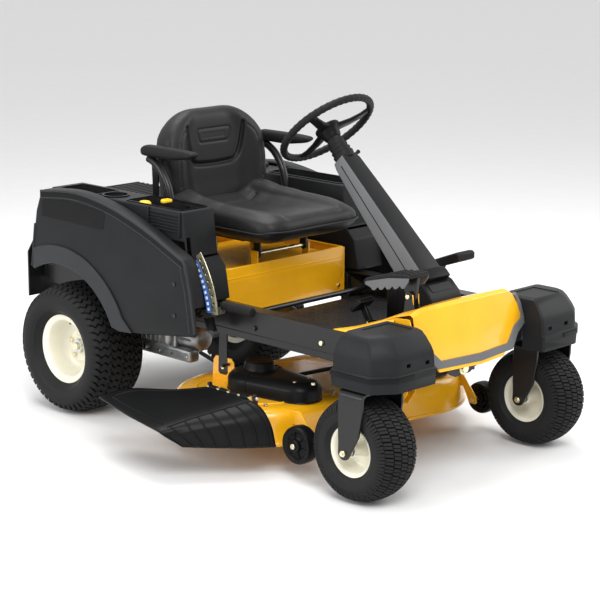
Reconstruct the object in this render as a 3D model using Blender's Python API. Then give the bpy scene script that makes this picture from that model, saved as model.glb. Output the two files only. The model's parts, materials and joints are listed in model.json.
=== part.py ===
"""Riding lawn mower: steering wheel, four wheels, two-blade side-discharge deck, rear engine.

The mower is modelled in its own frame: x = 0 on the centre line (+X is its left side), y = 0 on the rear
axle (+Y is the rear), z = 0 on the ground. The empty "mower" then puts the middle of the whole machine's
box at the origin. Every moving piece has its origin on its joint's axis.
"""

import math

import bmesh
import bpy
from mathutils import Matrix, Vector

GAP = 0.0003

# Wheels
REAR_R, REAR_W, REAR_X = 0.2286, 0.224, 0.402
FRONT_R, FRONT_W, FRONT_X = 0.165, 0.159, 0.420
WHEELBASE = 1.371
CASTER_Y = -1.415
REAR_BEAD, REAR_RIM_HALF = 0.1035, 0.080
FRONT_BEAD, FRONT_RIM_HALF = 0.0735, 0.0645
AXLE_R = 0.009

# Frame
RAIL_OUT, RAIL_IN, RAIL_LOW, RAIL_TOP = 0.360, 0.310, 0.386, 0.486
RAIL_REAR = 0.330
REAR_RAIL_OUT, REAR_RAIL_IN, RAIL_STEP = 0.282, 0.236, -0.200
CROSS_FRONT, CROSS_REAR, CROSS_HALF = -1.428, -1.375, 0.420
CROSS_LOW, CROSS_TOP = 0.389, 0.476
REAR_END = 0.424
FLOOR_Z = 0.405
PLATE_Z = 0.430

# Body
FENDER_OUT, FENDER_STEP, FENDER_IN = 0.500, 0.445, 0.306
CONSOLE_TOP = 0.787
SKIN = 0.005
SEAT_BOX_HALF, SEAT_BOX_FRONT, SEAT_BOX_TOP = 0.284, -0.606, 0.575

# Steering
COLUMN_BASE_Y, COLUMN_BASE_Z = -1.228, 0.600
COLUMN_TOP_Y, COLUMN_TOP_Z = -0.872, 0.958
WHEEL_Y, WHEEL_Z, WHEEL_TILT = -0.800, 1.040, 43.0
WHEEL_RING, WHEEL_TUBE = 0.163, 0.0125

# Deck
SPINDLES = {"right": (-0.265, -0.750), "left": (0.265, -0.830)}
DECK_R, DECK_LOW, DECK_TOP = 0.285, 0.080, 0.200
DECK_WALL = 0.004
BLADE_R, BLADE_Z = 0.2665, 0.108
PULLEY_R, ENGINE_PULLEY_R = 0.046, 0.046
ENGINE_PULLEY = (0.0, -0.020)
BELT_LOW, BELT_TOP = 0.226, 0.238
SCALP = {"right": (-0.420, -1.097, 0.112, 0.062), "left": (0.420, -1.148, 0.110, 0.055)}
CHUTE_X, CHUTE_Z = -0.478, 0.240
CHUTE_OUT = -0.765

# Lift
LIFT_Y, LIFT_Z, LIFT_ARM = -0.690, 0.436, 0.080
LIFT_HALF_SWING = 17.5
LEVER_Y, LEVER_Z = -0.340, 0.415
FRONT_LINK_Y, FRONT_LINK_Z = -1.400, 0.352
DECK_PIN_Y, DECK_PIN_Z = -1.175, 0.245

# Seat
SEAT_PIVOT_Y, SEAT_PIVOT_Z = -0.585, 0.603
ARM_Y, ARM_Z = -0.205, 0.925

SIDES = {"right": -1, "left": 1}
MIDDLE = (-(CHUTE_OUT + DECK_R + SPINDLES["left"][0]) / 2, (WHEELBASE + FRONT_R - REAR_END) / 2)


# ---- helpers -------------------------------------------------------------------------------------------

def clear_scene():
    for item in list(bpy.data.objects):
        bpy.data.objects.remove(item, do_unlink=True)


def material(name, colour, roughness, metallic=0.0):
    made = bpy.data.materials.new(name)
    made.use_nodes = True
    shader = made.node_tree.nodes["Principled BSDF"]
    shader.inputs["Base Color"].default_value = (*colour, 1.0)
    shader.inputs["Roughness"].default_value = roughness
    shader.inputs["Metallic"].default_value = metallic
    made.diffuse_color = (*colour, 1.0)
    return made


def solid(name, points, faces, look, pivot=(0.0, 0.0, 0.0)):
    """An object from points in the mower's frame, with its origin at the pivot and its faces out."""
    bm = bmesh.new()
    made = [bm.verts.new(Vector(p) - Vector(pivot)) for p in points]
    for face in faces:
        bm.faces.new([made[i] for i in face])
    bmesh.ops.recalc_face_normals(bm, faces=bm.faces)
    mesh = bpy.data.meshes.new(name)
    bm.to_mesh(mesh)
    bm.free()
    mesh.materials.append(look)
    item = bpy.data.objects.new(name, mesh)
    item.location = pivot
    item.parent = bpy.data.objects["mower"]
    bpy.context.scene.collection.objects.link(item)
    return item


def rings(name, loops, look, pivot=(0.0, 0.0, 0.0), closed=False):
    """Skins equal loops of points one after another, and caps both ends or joins the last to the first."""
    count = len(loops[0])
    points = [p for loop in loops for p in loop]
    faces = []
    for i in range(len(loops) if closed else len(loops) - 1):
        a, b = i * count, ((i + 1) % len(loops)) * count
        for k in range(count):
            n = (k + 1) % count
            faces.append((a + k, a + n, b + n, b + k))
    if not closed:
        faces.append(tuple(range(count)))
        faces.append(tuple(range(len(points) - count, len(points))))
    return solid(name, points, faces, look, pivot)


def placed(axis, flat, along):
    """A point from its two coordinates across an axis, in X, Y, Z order, and its place along it."""
    a, b = flat
    return {"X": (along, a, b), "Y": (a, along, b), "Z": (a, b, along)}[axis]


def prism(name, outline, axis, low, high, look, pivot=(0.0, 0.0, 0.0)):
    return rings(name, [[placed(axis, p, v) for p in outline] for v in (low, high)], look, pivot)


def box(name, low, high, look, pivot=(0.0, 0.0, 0.0)):
    outline = [(low[0], low[1]), (high[0], low[1]), (high[0], high[1]), (low[0], high[1])]
    return prism(name, outline, "Z", low[2], high[2], look, pivot)


def turned(name, profile, axis, centre, look, steps=28):
    """Turns a closed profile of (radius, place along the axis) about an axis through the centre."""
    points, faces, rows = [], [], []
    for radius, along in profile:
        if radius < 1e-6:
            rows.append([len(points)] * steps)
            points.append(tuple(Vector(centre) + Vector(placed(axis, (0.0, 0.0), along))))
            continue
        rows.append(list(range(len(points), len(points) + steps)))
        for k in range(steps):
            t = 2 * math.pi * k / steps
            flat = (radius * math.cos(t), radius * math.sin(t))
            points.append(tuple(Vector(centre) + Vector(placed(axis, flat, along))))
    for i, row in enumerate(rows):
        after = rows[(i + 1) % len(rows)]
        for k in range(steps):
            n = (k + 1) % steps
            face = list(dict.fromkeys((row[k], row[n], after[n], after[k])))
            if len(face) > 2:
                faces.append(face)
    return solid(name, points, faces, look, centre)


def rod(name, start, end, radius, look, pivot=(0.0, 0.0, 0.0), sides=12):
    return sweep(name, [start, end], radius, look, pivot, sides)


def sweep(name, path, radius, look, pivot=(0.0, 0.0, 0.0), sides=10, closed=False):
    """A round bar along a path of points."""
    path = [Vector(p) for p in path]
    count = len(path)
    loops, across = [], None
    for i, p in enumerate(path):
        before = path[i - 1] if i or closed else p
        after = path[(i + 1) % count] if i < count - 1 or closed else p
        along = (after - before).normalized()
        if across is None:
            across = along.orthogonal().normalized()
        across = (across - along * across.dot(along)).normalized()
        other = along.cross(across)
        turns = [2 * math.pi * k / sides for k in range(sides)]
        loops.append([tuple(p + (across * math.cos(t) + other * math.sin(t)) * radius) for t in turns])
    return rings(name, loops, look, pivot, closed)


def arc(centre, radius, start, end, count):
    """Points on an arc, from one angle to another in degrees, ends included."""
    made = []
    for k in range(count):
        t = math.radians(start + (end - start) * k / (count - 1))
        made.append((centre[0] + radius * math.cos(t), centre[1] + radius * math.sin(t)))
    return made


def inset(outline, distance):
    """The outline moved inwards by a distance, corner by corner."""
    area = sum(a[0] * b[1] - b[0] * a[1] for a, b in zip(outline, outline[1:] + outline[:1]))
    sign = 1 if area > 0 else -1
    made = []
    for i, here in enumerate(outline):
        p, q, r = Vector(outline[i - 1]), Vector(here), Vector(outline[(i + 1) % len(outline)])
        before, after = (q - p).normalized(), (r - q).normalized()
        first, second = Vector((-before.y, before.x)) * sign, Vector((-after.y, after.x)) * sign
        middle = (first + second).normalized()
        made.append(tuple(q + middle * distance / max(0.4, middle.dot(first))))
    return made


def boolean(item, operation, others):
    for other in others:
        step = item.modifiers.new(operation.lower(), "BOOLEAN")
        step.operation = operation
        step.object = other
        other.hide_render = True
        other.display_type = "WIRE"
    return item


def fuse(item, *others):
    return boolean(item, "UNION", others)


def cut(item, *others):
    return boolean(item, "DIFFERENCE", others)


def bevel(item, width, segments=2):
    step = item.modifiers.new("bevel", "BEVEL")
    step.width = width
    step.segments = segments
    step.limit_method = "ANGLE"
    step.angle_limit = math.radians(40)
    return item


def thicken(item, thickness):
    step = item.modifiers.new("thicken", "SOLIDIFY")
    step.thickness = thickness
    step.offset = -1
    step.use_even_offset = True
    return item


def smooth(item, angle=35.0):
    item.data.shade_smooth()
    item.data.set_sharp_from_angle(angle=math.radians(angle))
    return item


def make_materials():
    return {
        "paint": material("yellow_paint", (0.95, 0.55, 0.03), 0.32),
        "plastic": material("black_plastic", (0.035, 0.036, 0.038), 0.55),
        "grey": material("grey_plastic", (0.16, 0.165, 0.17), 0.5),
        "steel": material("black_steel", (0.02, 0.02, 0.021), 0.38),
        "tyre": material("tyre_rubber", (0.03, 0.031, 0.033), 0.8),
        "rubber": material("grip_rubber", (0.022, 0.022, 0.023), 0.75),
        "cream": material("cream_paint", (0.82, 0.80, 0.70), 0.35),
        "seat": material("seat_vinyl", (0.04, 0.04, 0.043), 0.6),
        "cast": material("cast_metal", (0.32, 0.33, 0.34), 0.45, 0.9),
        "zinc": material("zinc_plate", (0.72, 0.66, 0.45), 0.35, 1.0),
        "knob": material("yellow_plastic", (0.95, 0.60, 0.02), 0.4),
    }


# ---- wheels --------------------------------------------------------------------------------------------

def tyre(name, centre, radius, width, bead, rim_half, look):
    """A hollow tyre, open to the rim: tread, bulged sides and beads between the rim's flanges."""
    half, seat = width / 2, rim_half - 0.0055
    height = radius - bead
    drop = 0.10 * height + 0.005
    outer = [(bead + 0.0003, seat), (bead + 0.19 * height, seat), (bead + 0.36 * height, 0.92 * half)]
    outer += [(bead + 0.60 * height, half), (radius - drop - 0.014, 0.97 * half), (radius - drop, 0.85 * half)]
    outer += [(radius - 0.003, 0.45 * half)]
    wall = 0.010
    inner = [(radius - drop - wall, 0.70 * half), (bead + 0.55 * height, half - wall)]
    inner += [(bead + 0.0003, seat - 1.5 * wall)]
    right = outer + [(radius, 0.0)] + [(r, -h) for r, h in reversed(outer)]
    left = [(r, -h) for r, h in reversed(inner)] + inner
    return smooth(turned(name, right + left, "X", centre, look, 26))


def rear_wheel(side, mats):
    sign = SIDES[side]
    centre = (sign * REAR_X, 0.0, REAR_R)
    tyre(f"rear_{side}_tyre", centre, REAR_R, REAR_W, REAR_BEAD, REAR_RIM_HALF, mats["tyre"])
    bead, half, lip = REAR_BEAD, REAR_RIM_HALF, 0.120
    inside = bead - 0.005
    face = [(0.0, 0.018), (0.026, 0.018), (0.032, 0.003), (inside, 0.003)]
    barrel = [(inside, half), (lip, half), (lip, half - 0.005), (bead, half - 0.005)]
    barrel += [(bead, 0.005 - half), (lip, 0.005 - half), (lip, -half), (inside, -half)]
    profile = face + barrel + [(inside, -0.004), (0.0, -0.004)]
    profile = [(r, h * sign) for r, h in profile]
    return smooth(turned(f"rear_{side}_rim", profile, "X", centre, mats["cream"], 26))


def front_wheel(side, mats):
    centre = (SIDES[side] * FRONT_X, -WHEELBASE, FRONT_R)
    tyre(f"front_{side}_tyre", centre, FRONT_R, FRONT_W, FRONT_BEAD, FRONT_RIM_HALF, mats["tyre"])
    bead, half, lip = FRONT_BEAD, FRONT_RIM_HALF, 0.081
    inside = bead - 0.0045
    hub = AXLE_R + 0.0005
    outer = [(hub, 0.062), (0.021, 0.062), (0.024, 0.004), (inside, 0.003), (inside, half), (lip, half)]
    outer += [(lip, half - 0.004), (bead, half - 0.005)]
    profile = outer + [(r, -h) for r, h in reversed(outer)]
    return smooth(turned(f"front_{side}_rim", profile, "X", centre, mats["cream"], 26))


def caster_fork(side, mats):
    """Yoke over the front wheel: two legs, crown plate, stem up into the crossmember, and axle bolt."""
    x = SIDES[side] * FRONT_X
    pivot = (x, CASTER_Y, 0.350)
    look = mats["steel"]
    leg = [(-1.343, 0.349), (-1.343, 0.175), (-1.352, 0.155), (-1.371, 0.147), (-1.392, 0.157)]
    leg += [(-1.425, 0.219), (-1.445, 0.300), (-1.475, 0.349)]
    reach, thick = FRONT_W / 2 + 0.0045, 0.008
    crown = box(f"{side}_caster_fork", (x - reach - thick, -1.475, 0.345), (x + reach + thick, -1.343, 0.357),
                look, pivot)
    legs = [prism(f"{side}_leg_{k}", leg, "X", x + s * reach, x + s * (reach + thick), look, pivot)
            for k, s in enumerate((-1, 1))]
    stem = rod(f"{side}_stem", (x, CASTER_Y, 0.350), (x, CASTER_Y, 0.497), 0.0155, look, pivot, 16)
    axle = (x - reach - thick - 0.012, -WHEELBASE, FRONT_R), (x + reach + thick + 0.012, -WHEELBASE, FRONT_R)
    bolt = rod(f"{side}_axle_bolt", *axle, AXLE_R, look, pivot)
    return fuse(crown, *legs, stem, bolt)


# ---- frame ---------------------------------------------------------------------------------------------

def frame_rail(side, mats):
    """Channel that opens towards the middle, stepped inwards to pass the rear wheel."""
    s = SIDES[side]
    wall = 0.005

    def channel(name, out, inner, front, rear):
        web = s * (out - wall)
        outline = [(s * out, RAIL_LOW), (s * inner, RAIL_LOW), (s * inner, RAIL_LOW + wall)]
        outline += [(web, RAIL_LOW + wall), (web, RAIL_TOP - wall), (s * inner, RAIL_TOP - wall)]
        outline += [(s * inner, RAIL_TOP), (s * out, RAIL_TOP)]
        return prism(name, outline, "Y", front, rear, mats["steel"])

    rail = channel(f"{side}_frame_rail", RAIL_OUT, RAIL_IN, CROSS_REAR + GAP, RAIL_STEP)
    rear = channel(f"{side}_rear_rail", REAR_RAIL_OUT, REAR_RAIL_IN, RAIL_STEP - 0.040, RAIL_REAR)
    low, high = sorted((s * (REAR_RAIL_OUT - 0.004), s * (RAIL_OUT - 0.002)))
    step = box(f"{side}_rail_step", (low, RAIL_STEP - 0.046, RAIL_LOW + 0.001), (high, RAIL_STEP - 0.001,
               RAIL_TOP - 0.001), mats["steel"])
    return fuse(rail, rear, step)


def front_crossmember(mats):
    """Box beam with a caster tube at each end and the front deck hanger below it."""
    look = mats["steel"]
    beam = box("front_crossmember", (-CROSS_HALF, CROSS_FRONT, CROSS_LOW), (CROSS_HALF, CROSS_REAR, CROSS_TOP),
               look)
    ears = [box(f"hanger_ear_{k}", (x, -1.425, 0.335), (x + 0.006, -1.378, 0.395), look)
            for k, x in enumerate((-0.030, 0.024))]
    tubes = [rod(f"caster_tube_{k}", (s * FRONT_X, CASTER_Y, CROSS_LOW - 0.004), (s * FRONT_X, CASTER_Y,
             CROSS_TOP + 0.004), 0.030, look, sides=16) for k, s in enumerate((-1, 1))]
    fuse(beam, *ears, *tubes)
    holes = [rod(f"caster_bore_{k}", (s * FRONT_X, CASTER_Y, 0.3), (s * FRONT_X, CASTER_Y, 0.6), 0.0165, look,
                 sides=16) for k, s in enumerate((-1, 1))]
    return cut(beam, *holes)


def engine_plate(mats):
    plate = box("engine_plate", (-REAR_RAIL_IN + 0.0005, -0.130, PLATE_Z), (REAR_RAIL_IN - 0.0005, 0.320,
                PLATE_Z + 0.006),
                mats["steel"])
    hole = rod("crank_clearance", (*ENGINE_PULLEY, 0.4), (*ENGINE_PULLEY, 0.5), 0.030, mats["steel"])
    return cut(plate, hole)


def rear_bumper(mats):
    """Plate across the rear of the rails, with a lower hitch tongue."""
    outline = [(-0.340, 0.335), (0.340, 0.335), (0.340, 0.500), (0.300, 0.560), (-0.300, 0.560), (-0.340, 0.500)]
    plate = prism("rear_bumper", outline, "Y", REAR_END - 0.050, REAR_END - 0.044, mats["steel"])
    tongue = box("hitch_tongue", (-0.045, 0.300, 0.340), (0.045, REAR_END, 0.346), mats["steel"])
    arms = [box(f"bumper_arm_{k}", (s * 0.259 - 0.012, RAIL_REAR + GAP, 0.400), (s * 0.259 + 0.012, 0.376, 0.470),
                mats["steel"]) for k, s in enumerate((-1, 1))]
    hole = rod("hitch_hole", (0.0, 0.402, 0.3), (0.0, 0.402, 0.4), 0.0095, mats["steel"])
    return cut(fuse(plate, tongue, *arms), hole)


def floor_pan(mats):
    """Foot floor between the rails, with its raised rear edge and front toe board."""
    outline = [(-0.665, FLOOR_Z), (-1.180, FLOOR_Z), (-1.340, 0.470), (-1.345, 0.465), (-1.183, 0.400),
               (-0.665, 0.400)]
    half = RAIL_OUT - 0.006 - GAP
    pan = prism("floor_pan", outline, "X", -half, half, mats["plastic"])
    post = box("column_post_gap", (-0.078, -1.332, 0.39), (0.078, -1.138, 0.6), mats["plastic"])
    ears = []
    for name, x, y, half in (("reverse", -0.160, -1.150, 0.009), ("brake", 0.200, -1.080, 0.010)):
        ear = [(y - 0.022, 0.401), (y + 0.022, 0.401), (y + 0.010, 0.480), (y - 0.010, 0.480)]
        ears += [prism(f"{name}_ear_{k}", ear, "X", x + s * half - 0.003 + s * 0.003, x + s * half + 0.003
                 + s * 0.003, mats["plastic"]) for k, s in enumerate((-1, 1))]
    return cut(fuse(pan, *ears), post)


def seat_box(mats):
    """Open-bottomed steel box under the seat, with a rolled top edge and a sunk lid."""
    half, front, top, rear = SEAT_BOX_HALF, SEAT_BOX_FRONT, SEAT_BOX_TOP, -0.150
    look = mats["paint"]
    profile = [(front, 0.410), (front - 0.012, top - 0.045), (front - 0.012, top), (rear, top), (rear, 0.4875)]
    profile += [(front + 0.12, 0.4875), (front + 0.12, 0.410)]
    outer = prism("seat_box", profile, "X", -half, half, look)
    hollow = box("seat_box_hollow", (-half + 0.003, front + 0.003, 0.30), (half - 0.003, rear - 0.003, top - 0.028),
                 look)
    tray = box("seat_box_tray", (-half + 0.012, front + 0.010, top - 0.025), (half - 0.012, rear - 0.012, top + 0.1),
               look)
    cut(outer, hollow, tray)
    parts = []
    for k, s in enumerate((-1, 1)):
        low, high = sorted((s * 0.1203, s * 0.1263))
        parts.append(box(f"seat_bracket_{k}", (low, -0.600, top - 0.027), (high, -0.570, 0.614), look))
        parts.append(rod(f"seat_stop_{k}", (s * 0.100, -0.350, top - 0.027), (s * 0.100, -0.350, 0.6397), 0.014, look))
    return fuse(outer, *parts)


def battery(mats):
    return bevel(box("battery", (-0.22, -0.36, 0.495), (-0.02, -0.20, 0.540), mats["plastic"]), 0.004)


# ---- body panels ---------------------------------------------------------------------------------------

def hood(mats):
    """Front cowl: a crowned sheet from the floor up over the crest and down the front face."""
    full = [(-1.235, 0.491), (-1.300, 0.528), (-1.372, 0.556), (-1.402, 0.548), (-1.438, 0.480), (-1.462, 0.400)]
    crest = [(-1.240, 0.492), (-1.320, 0.540), (-1.396, 0.573), (-1.422, 0.560), (-1.450, 0.490), (-1.480, 0.398)]
    nose = [(-1.250, 0.494), (-1.328, 0.546), (-1.404, 0.579), (-1.431, 0.565), (-1.460, 0.492), (-1.490, 0.396)]
    columns = [(-0.250, full), (-0.185, crest), (0.0, nose), (0.185, crest), (0.250, full)]
    loops = []
    for x, rows in columns:
        under = []
        for i, (y, z) in enumerate(rows):
            before, after = rows[max(0, i - 1)], rows[min(len(rows) - 1, i + 1)]
            dy, dz = after[0] - before[0], after[1] - before[1]
            reach = 0.0035 / math.hypot(dy, dz)
            under.append((y - dz * reach, z + dy * reach))
        loops.append([(x, y, z) for y, z in rows + under[::-1]])
    sheet = rings("hood", loops, mats["paint"])
    notch = box("hood_notch", (-0.080, -1.334, 0.30), (0.080, -1.10, 0.65), mats["paint"])
    wing = [(-1.215, 0.4935), (-1.215, 0.4880), (-1.2995, 0.4935), (-1.2995, 0.4990)]
    wall = [(-1.225, 0.4875), (-1.300, 0.527), (-1.372, 0.5545), (-1.401, 0.547), (-1.4355, 0.4850),
            (-1.3300, 0.4850)]
    sides = []
    for k, s in enumerate((-1, 1)):
        low, high = sorted((s * 0.2485, s * 0.356))
        sides.append(prism(f"hood_wing_{k}", wing, "X", low, high, mats["paint"]))
        low, high = sorted((s * 0.2450, s * 0.2495))
        sides.append(prism(f"hood_side_{k}", wall, "X", low, high, mats["paint"]))
    for k, s in enumerate((-1, 1)):
        ear = [(-1.338, 0.545), (-1.378, 0.560), (-1.370, 0.612), (-1.346, 0.612)]
        low, high = sorted((-0.200 + s * 0.010, -0.200 + s * 0.016))
        sides.append(prism(f"treadle_ear_{k}", ear, "X", low, high, mats["paint"]))
    return cut(fuse(smooth(sheet, 50), *sides), notch)


def caster_cover(side, mats):
    """Moulded cover over the end of the crossmember, open below, behind the rail and towards the middle."""
    s = SIDES[side]
    look = mats["plastic"]

    def shape(name, grow):
        low = [(0.262 + 2 * grow, -1.515 + grow), (0.440, -1.515 + grow), (0.506 - grow, -1.470),
               (0.506 - grow, -1.305 - grow), (0.262 + 2 * grow, -1.305 - grow)]
        high = [(0.270 + 2 * grow, -1.480 + grow), (0.425, -1.480 + grow), (0.480 - grow, -1.440),
                (0.480 - grow, -1.320 - grow), (0.270 + 2 * grow, -1.320 - grow)]
        levels = [(low, 0.360 - 20 * grow), (low, 0.470 - grow), (high, 0.527 - grow)]
        loops = [[(s * x, y, z) for x, y in outline] for outline, z in levels]
        return rings(name, loops, look)

    cover = shape(f"{side}_caster_cover", 0.0)
    inner = shape(f"{side}_cover_hollow", 0.004)
    low, high = sorted((s * 0.200, s * 0.367))
    behind = box(f"{side}_cover_rail_gap", (low, -1.420, 0.30), (high, -1.290, 0.4935), look)
    low, high = sorted((s * 0.200, s * 0.300))
    middle = box(f"{side}_cover_beam_gap", (low, -1.509, 0.30), (high, -1.290, 0.4905), look)
    return cut(cover, inner, behind, middle)


def fender_outlines():
    """Side views of a fender: the outer panel, the taller console behind it, and the wheel arch."""
    arch = arc((-0.010, REAR_R), 0.306, 42, 148, 12)
    panel = [(0.150, 0.500), (0.135, 0.620), (0.088, 0.785), (-0.095, 0.800), (-0.270, 0.777), (-0.430, 0.730),
             (-0.550, 0.680), (-0.645, 0.640), (-0.690, 0.500), (-0.704, 0.397), (-0.436, 0.361), (-0.325, 0.352)]
    console = [(0.150, 0.500), (0.135, 0.620), (0.088, CONSOLE_TOP), (-0.582, CONSOLE_TOP), (-0.600, 0.640),
               (-0.640, 0.600), (-0.660, 0.4925), (-0.300, 0.4925)]
    return panel, console, arch


def fender(side, mats):
    """Moulded rear fender and console. The right one holds the controls, the left one the fuel filler."""
    s = SIDES[side]
    look = mats["plastic"]
    panel, console, arch = fender_outlines()

    def span(name, outline, near, far):
        low, high = sorted((s * near, s * far))
        return prism(f"{side}_{name}", outline, "X", low, high, look)

    body = span("fender", panel, FENDER_STEP, FENDER_OUT)
    fuse(body, span("console", console, FENDER_IN, FENDER_STEP + 0.0008))
    panel_hollow = inset(panel, SKIN)
    room = [(y, min(z, 0.690)) for y, z in inset(console, SKIN)]
    cut(body, span("panel_hollow", panel_hollow, FENDER_STEP - 0.01, FENDER_OUT - SKIN),
        span("console_hollow", room, FENDER_IN + SKIN, FENDER_STEP + 0.01))
    low, high = sorted((s * 0.250, s * 0.494))
    below = box(f"{side}_open_floor", (low, -0.72, 0.30), (high, 0.20, 0.4923), look)
    wheel = span("wheel_arch", arch + [(-0.330, 0.20), (0.30, 0.20)], 0.2, 0.6)
    cut(body, below, wheel)
    return body


def pocket(side, name, x0, x1, y0, y1, z, look):
    low, high = sorted((SIDES[side] * x0, SIDES[side] * x1))
    return box(f"{side}_{name}", (low, y0, z), (high, y1, 0.9), look)


def right_fender(mats):
    """Storage tray and cup holder in the top, control recess further forward, and a slot for the lift lever."""
    look = mats["plastic"]
    body = fender("right", mats)
    cup = rod("cup_hole", (-0.395, -0.190, 0.712), (-0.395, -0.190, 0.9), 0.040, look, sides=24)
    slots = [box("lever_slot_front", (-0.4390, -0.720, 0.480), (-0.4210, -0.570, 0.702), look),
             box("lever_slot_below", (-0.4390, -0.600, 0.480), (-0.4210, -0.310, 0.600), look)]
    return cut(body, pocket("right", "tray", 0.340, 0.455, -0.135, 0.050, 0.740, look), cup,
               pocket("right", "control_recess", 0.318, 0.432, -0.560, -0.290, 0.752, look), *slots)


def left_fender(mats):
    """Storage tray forward, raised fuel filler behind it."""
    look = mats["plastic"]
    body = fender("left", mats)
    boss = rod("filler_boss", (0.385, -0.060, 0.780), (0.385, -0.060, 0.800), 0.052, look, sides=24)
    neck = rod("filler_hole", (0.385, -0.060, 0.60), (0.385, -0.060, 0.9), 0.026, look, sides=20)
    fuse(body, boss)
    return cut(body, neck, pocket("left", "tray", 0.325, 0.432, -0.560, -0.200, 0.730, look))


def fuel_tank(mats):
    """Blow-moulded tank under the left console, with its filler neck."""
    tank = box("fuel_tank", (0.316, -0.470, 0.505), (0.432, -0.345, 0.680), mats["rubber"])
    shelf = box("tank_shelf", (0.316, -0.370, 0.600), (0.432, 0.020, 0.680), mats["rubber"])
    neck = rod("tank_neck", (0.385, -0.060, 0.65), (0.385, -0.060, 0.797), 0.022, mats["rubber"], sides=20)
    return fuse(tank, shelf, neck)


def fuel_cap(mats):
    profile = [(0.0, 0.0), (0.034, 0.0), (0.036, 0.004), (0.036, 0.022), (0.030, 0.030), (0.0, 0.030)]
    return smooth(turned("fuel_cap", profile, "Z", (0.385, -0.060, 0.8003), mats["rubber"], 20))


def controls(mats):
    """Blade-engage knob, throttle lever and ignition key in the right console's control recess."""
    floor = 0.752 + GAP
    knob = [(0.0, 0.0), (0.006, 0.0), (0.006, 0.012), (0.020, 0.016), (0.021, 0.030), (0.015, 0.036), (0.0, 0.036)]
    smooth(turned("pto_knob", knob, "Z", (-0.400, -0.345, floor), mats["knob"], 18))
    pivot = (-0.375, -0.425, floor + 0.006)
    foot = rod("throttle_lever", (-0.385, -0.425, floor + 0.006), (-0.365, -0.425, floor + 0.006), 0.0055,
               mats["knob"], pivot)
    stalk = box("throttle_stalk", (-0.378, -0.429, floor + 0.004), (-0.372, -0.421, floor + 0.040), mats["knob"],
                pivot)
    head = box("throttle_head", (-0.394, -0.435, floor + 0.036), (-0.356, -0.415, floor + 0.048), mats["knob"],
               pivot)
    fuse(foot, stalk, head)
    key = (-0.345, -0.500, floor)
    barrel = rod("ignition_key", key, (key[0], key[1], floor + 0.012), 0.011, mats["cast"], key, 16)
    bow = box("key_bow", (key[0] - 0.002, key[1] - 0.011, floor + 0.010), (key[0] + 0.002, key[1] + 0.011,
              floor + 0.036), mats["cast"], key)
    fuse(barrel, bow)


# ---- steering and pedals -------------------------------------------------------------------------------

def tilt_axis():
    t = math.radians(WHEEL_TILT)
    return Vector((0.0, math.sin(t), math.cos(t)))


def steering_column(mats):
    """Tapered column that leans back to the driver, on a square base."""
    along = Vector((0.0, COLUMN_TOP_Y - COLUMN_BASE_Y, COLUMN_TOP_Z - COLUMN_BASE_Z)).normalized()
    across = Vector((1.0, 0.0, 0.0))
    depth = along.cross(across)
    levels = [(-0.030, 0.050, 0.058), (0.10, 0.046, 0.050), (0.49, 0.037, 0.029)]
    loops = []
    for distance, half_wide, half_deep in levels:
        centre = Vector((0.0, COLUMN_BASE_Y, COLUMN_BASE_Z)) + along * distance
        corners = [(-1, -1), (1, -1), (1, 1), (-1, 1)]
        loops.append([tuple(centre + across * a * half_wide + depth * b * half_deep) for a, b in corners])
    column = rings("steering_column", loops, mats["grey"])
    bevel(column, 0.006, 1)
    base = [(-1.330, FLOOR_Z + 0.001), (-1.330, 0.560), (-1.290, 0.606), (-1.160, 0.606), (-1.140, 0.560),
            (-1.140, FLOOR_Z + 0.001)]
    foot = prism("column_base", base, "X", -0.076, 0.076, mats["plastic"])
    centre = Vector((0.0, WHEEL_Y, WHEEL_Z))
    neck = rod("column_neck", tuple(centre - tilt_axis() * 0.125), tuple(centre - tilt_axis() * 0.040), 0.024,
               mats["plastic"], sides=16)
    return fuse(column, foot, neck)


def steering_wheel(mats):
    """Ring, three spokes and hub, square to the tilted shaft."""
    look = mats["rubber"]
    centre = Vector((0.0, WHEEL_Y, WHEEL_Z))
    normal = tilt_axis()
    side = Vector((1.0, 0.0, 0.0))
    up = normal.cross(side)
    turns = [2 * math.pi * k / 32 for k in range(32)]
    path = [tuple(centre + (side * math.cos(t) + up * math.sin(t)) * WHEEL_RING) for t in turns]
    ring = sweep("steering_wheel", path, WHEEL_TUBE, look, tuple(centre), 8, True)
    hub = rod("wheel_hub", tuple(centre - normal * 0.038), tuple(centre + normal * 0.004), 0.036, look,
              tuple(centre), 16)
    parts = [hub]
    for k, degrees in enumerate((90, 210, 330)):
        t = math.radians(degrees)
        out = side * math.cos(t) + up * math.sin(t)
        wide = normal.cross(out)
        loops = []
        for reach, half, lift in ((0.020, 0.020, -0.012), (WHEEL_RING, 0.013, 0.0)):
            middle = centre + out * reach + normal * lift
            corners = [(-1, -1), (1, -1), (1, 1), (-1, 1)]
            loops.append([tuple(middle + wide * a * half + normal * b * 0.005) for a, b in corners])
        parts.append(rings(f"wheel_spoke_{k}", loops, look, tuple(centre)))
    return fuse(ring, *parts)


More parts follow.
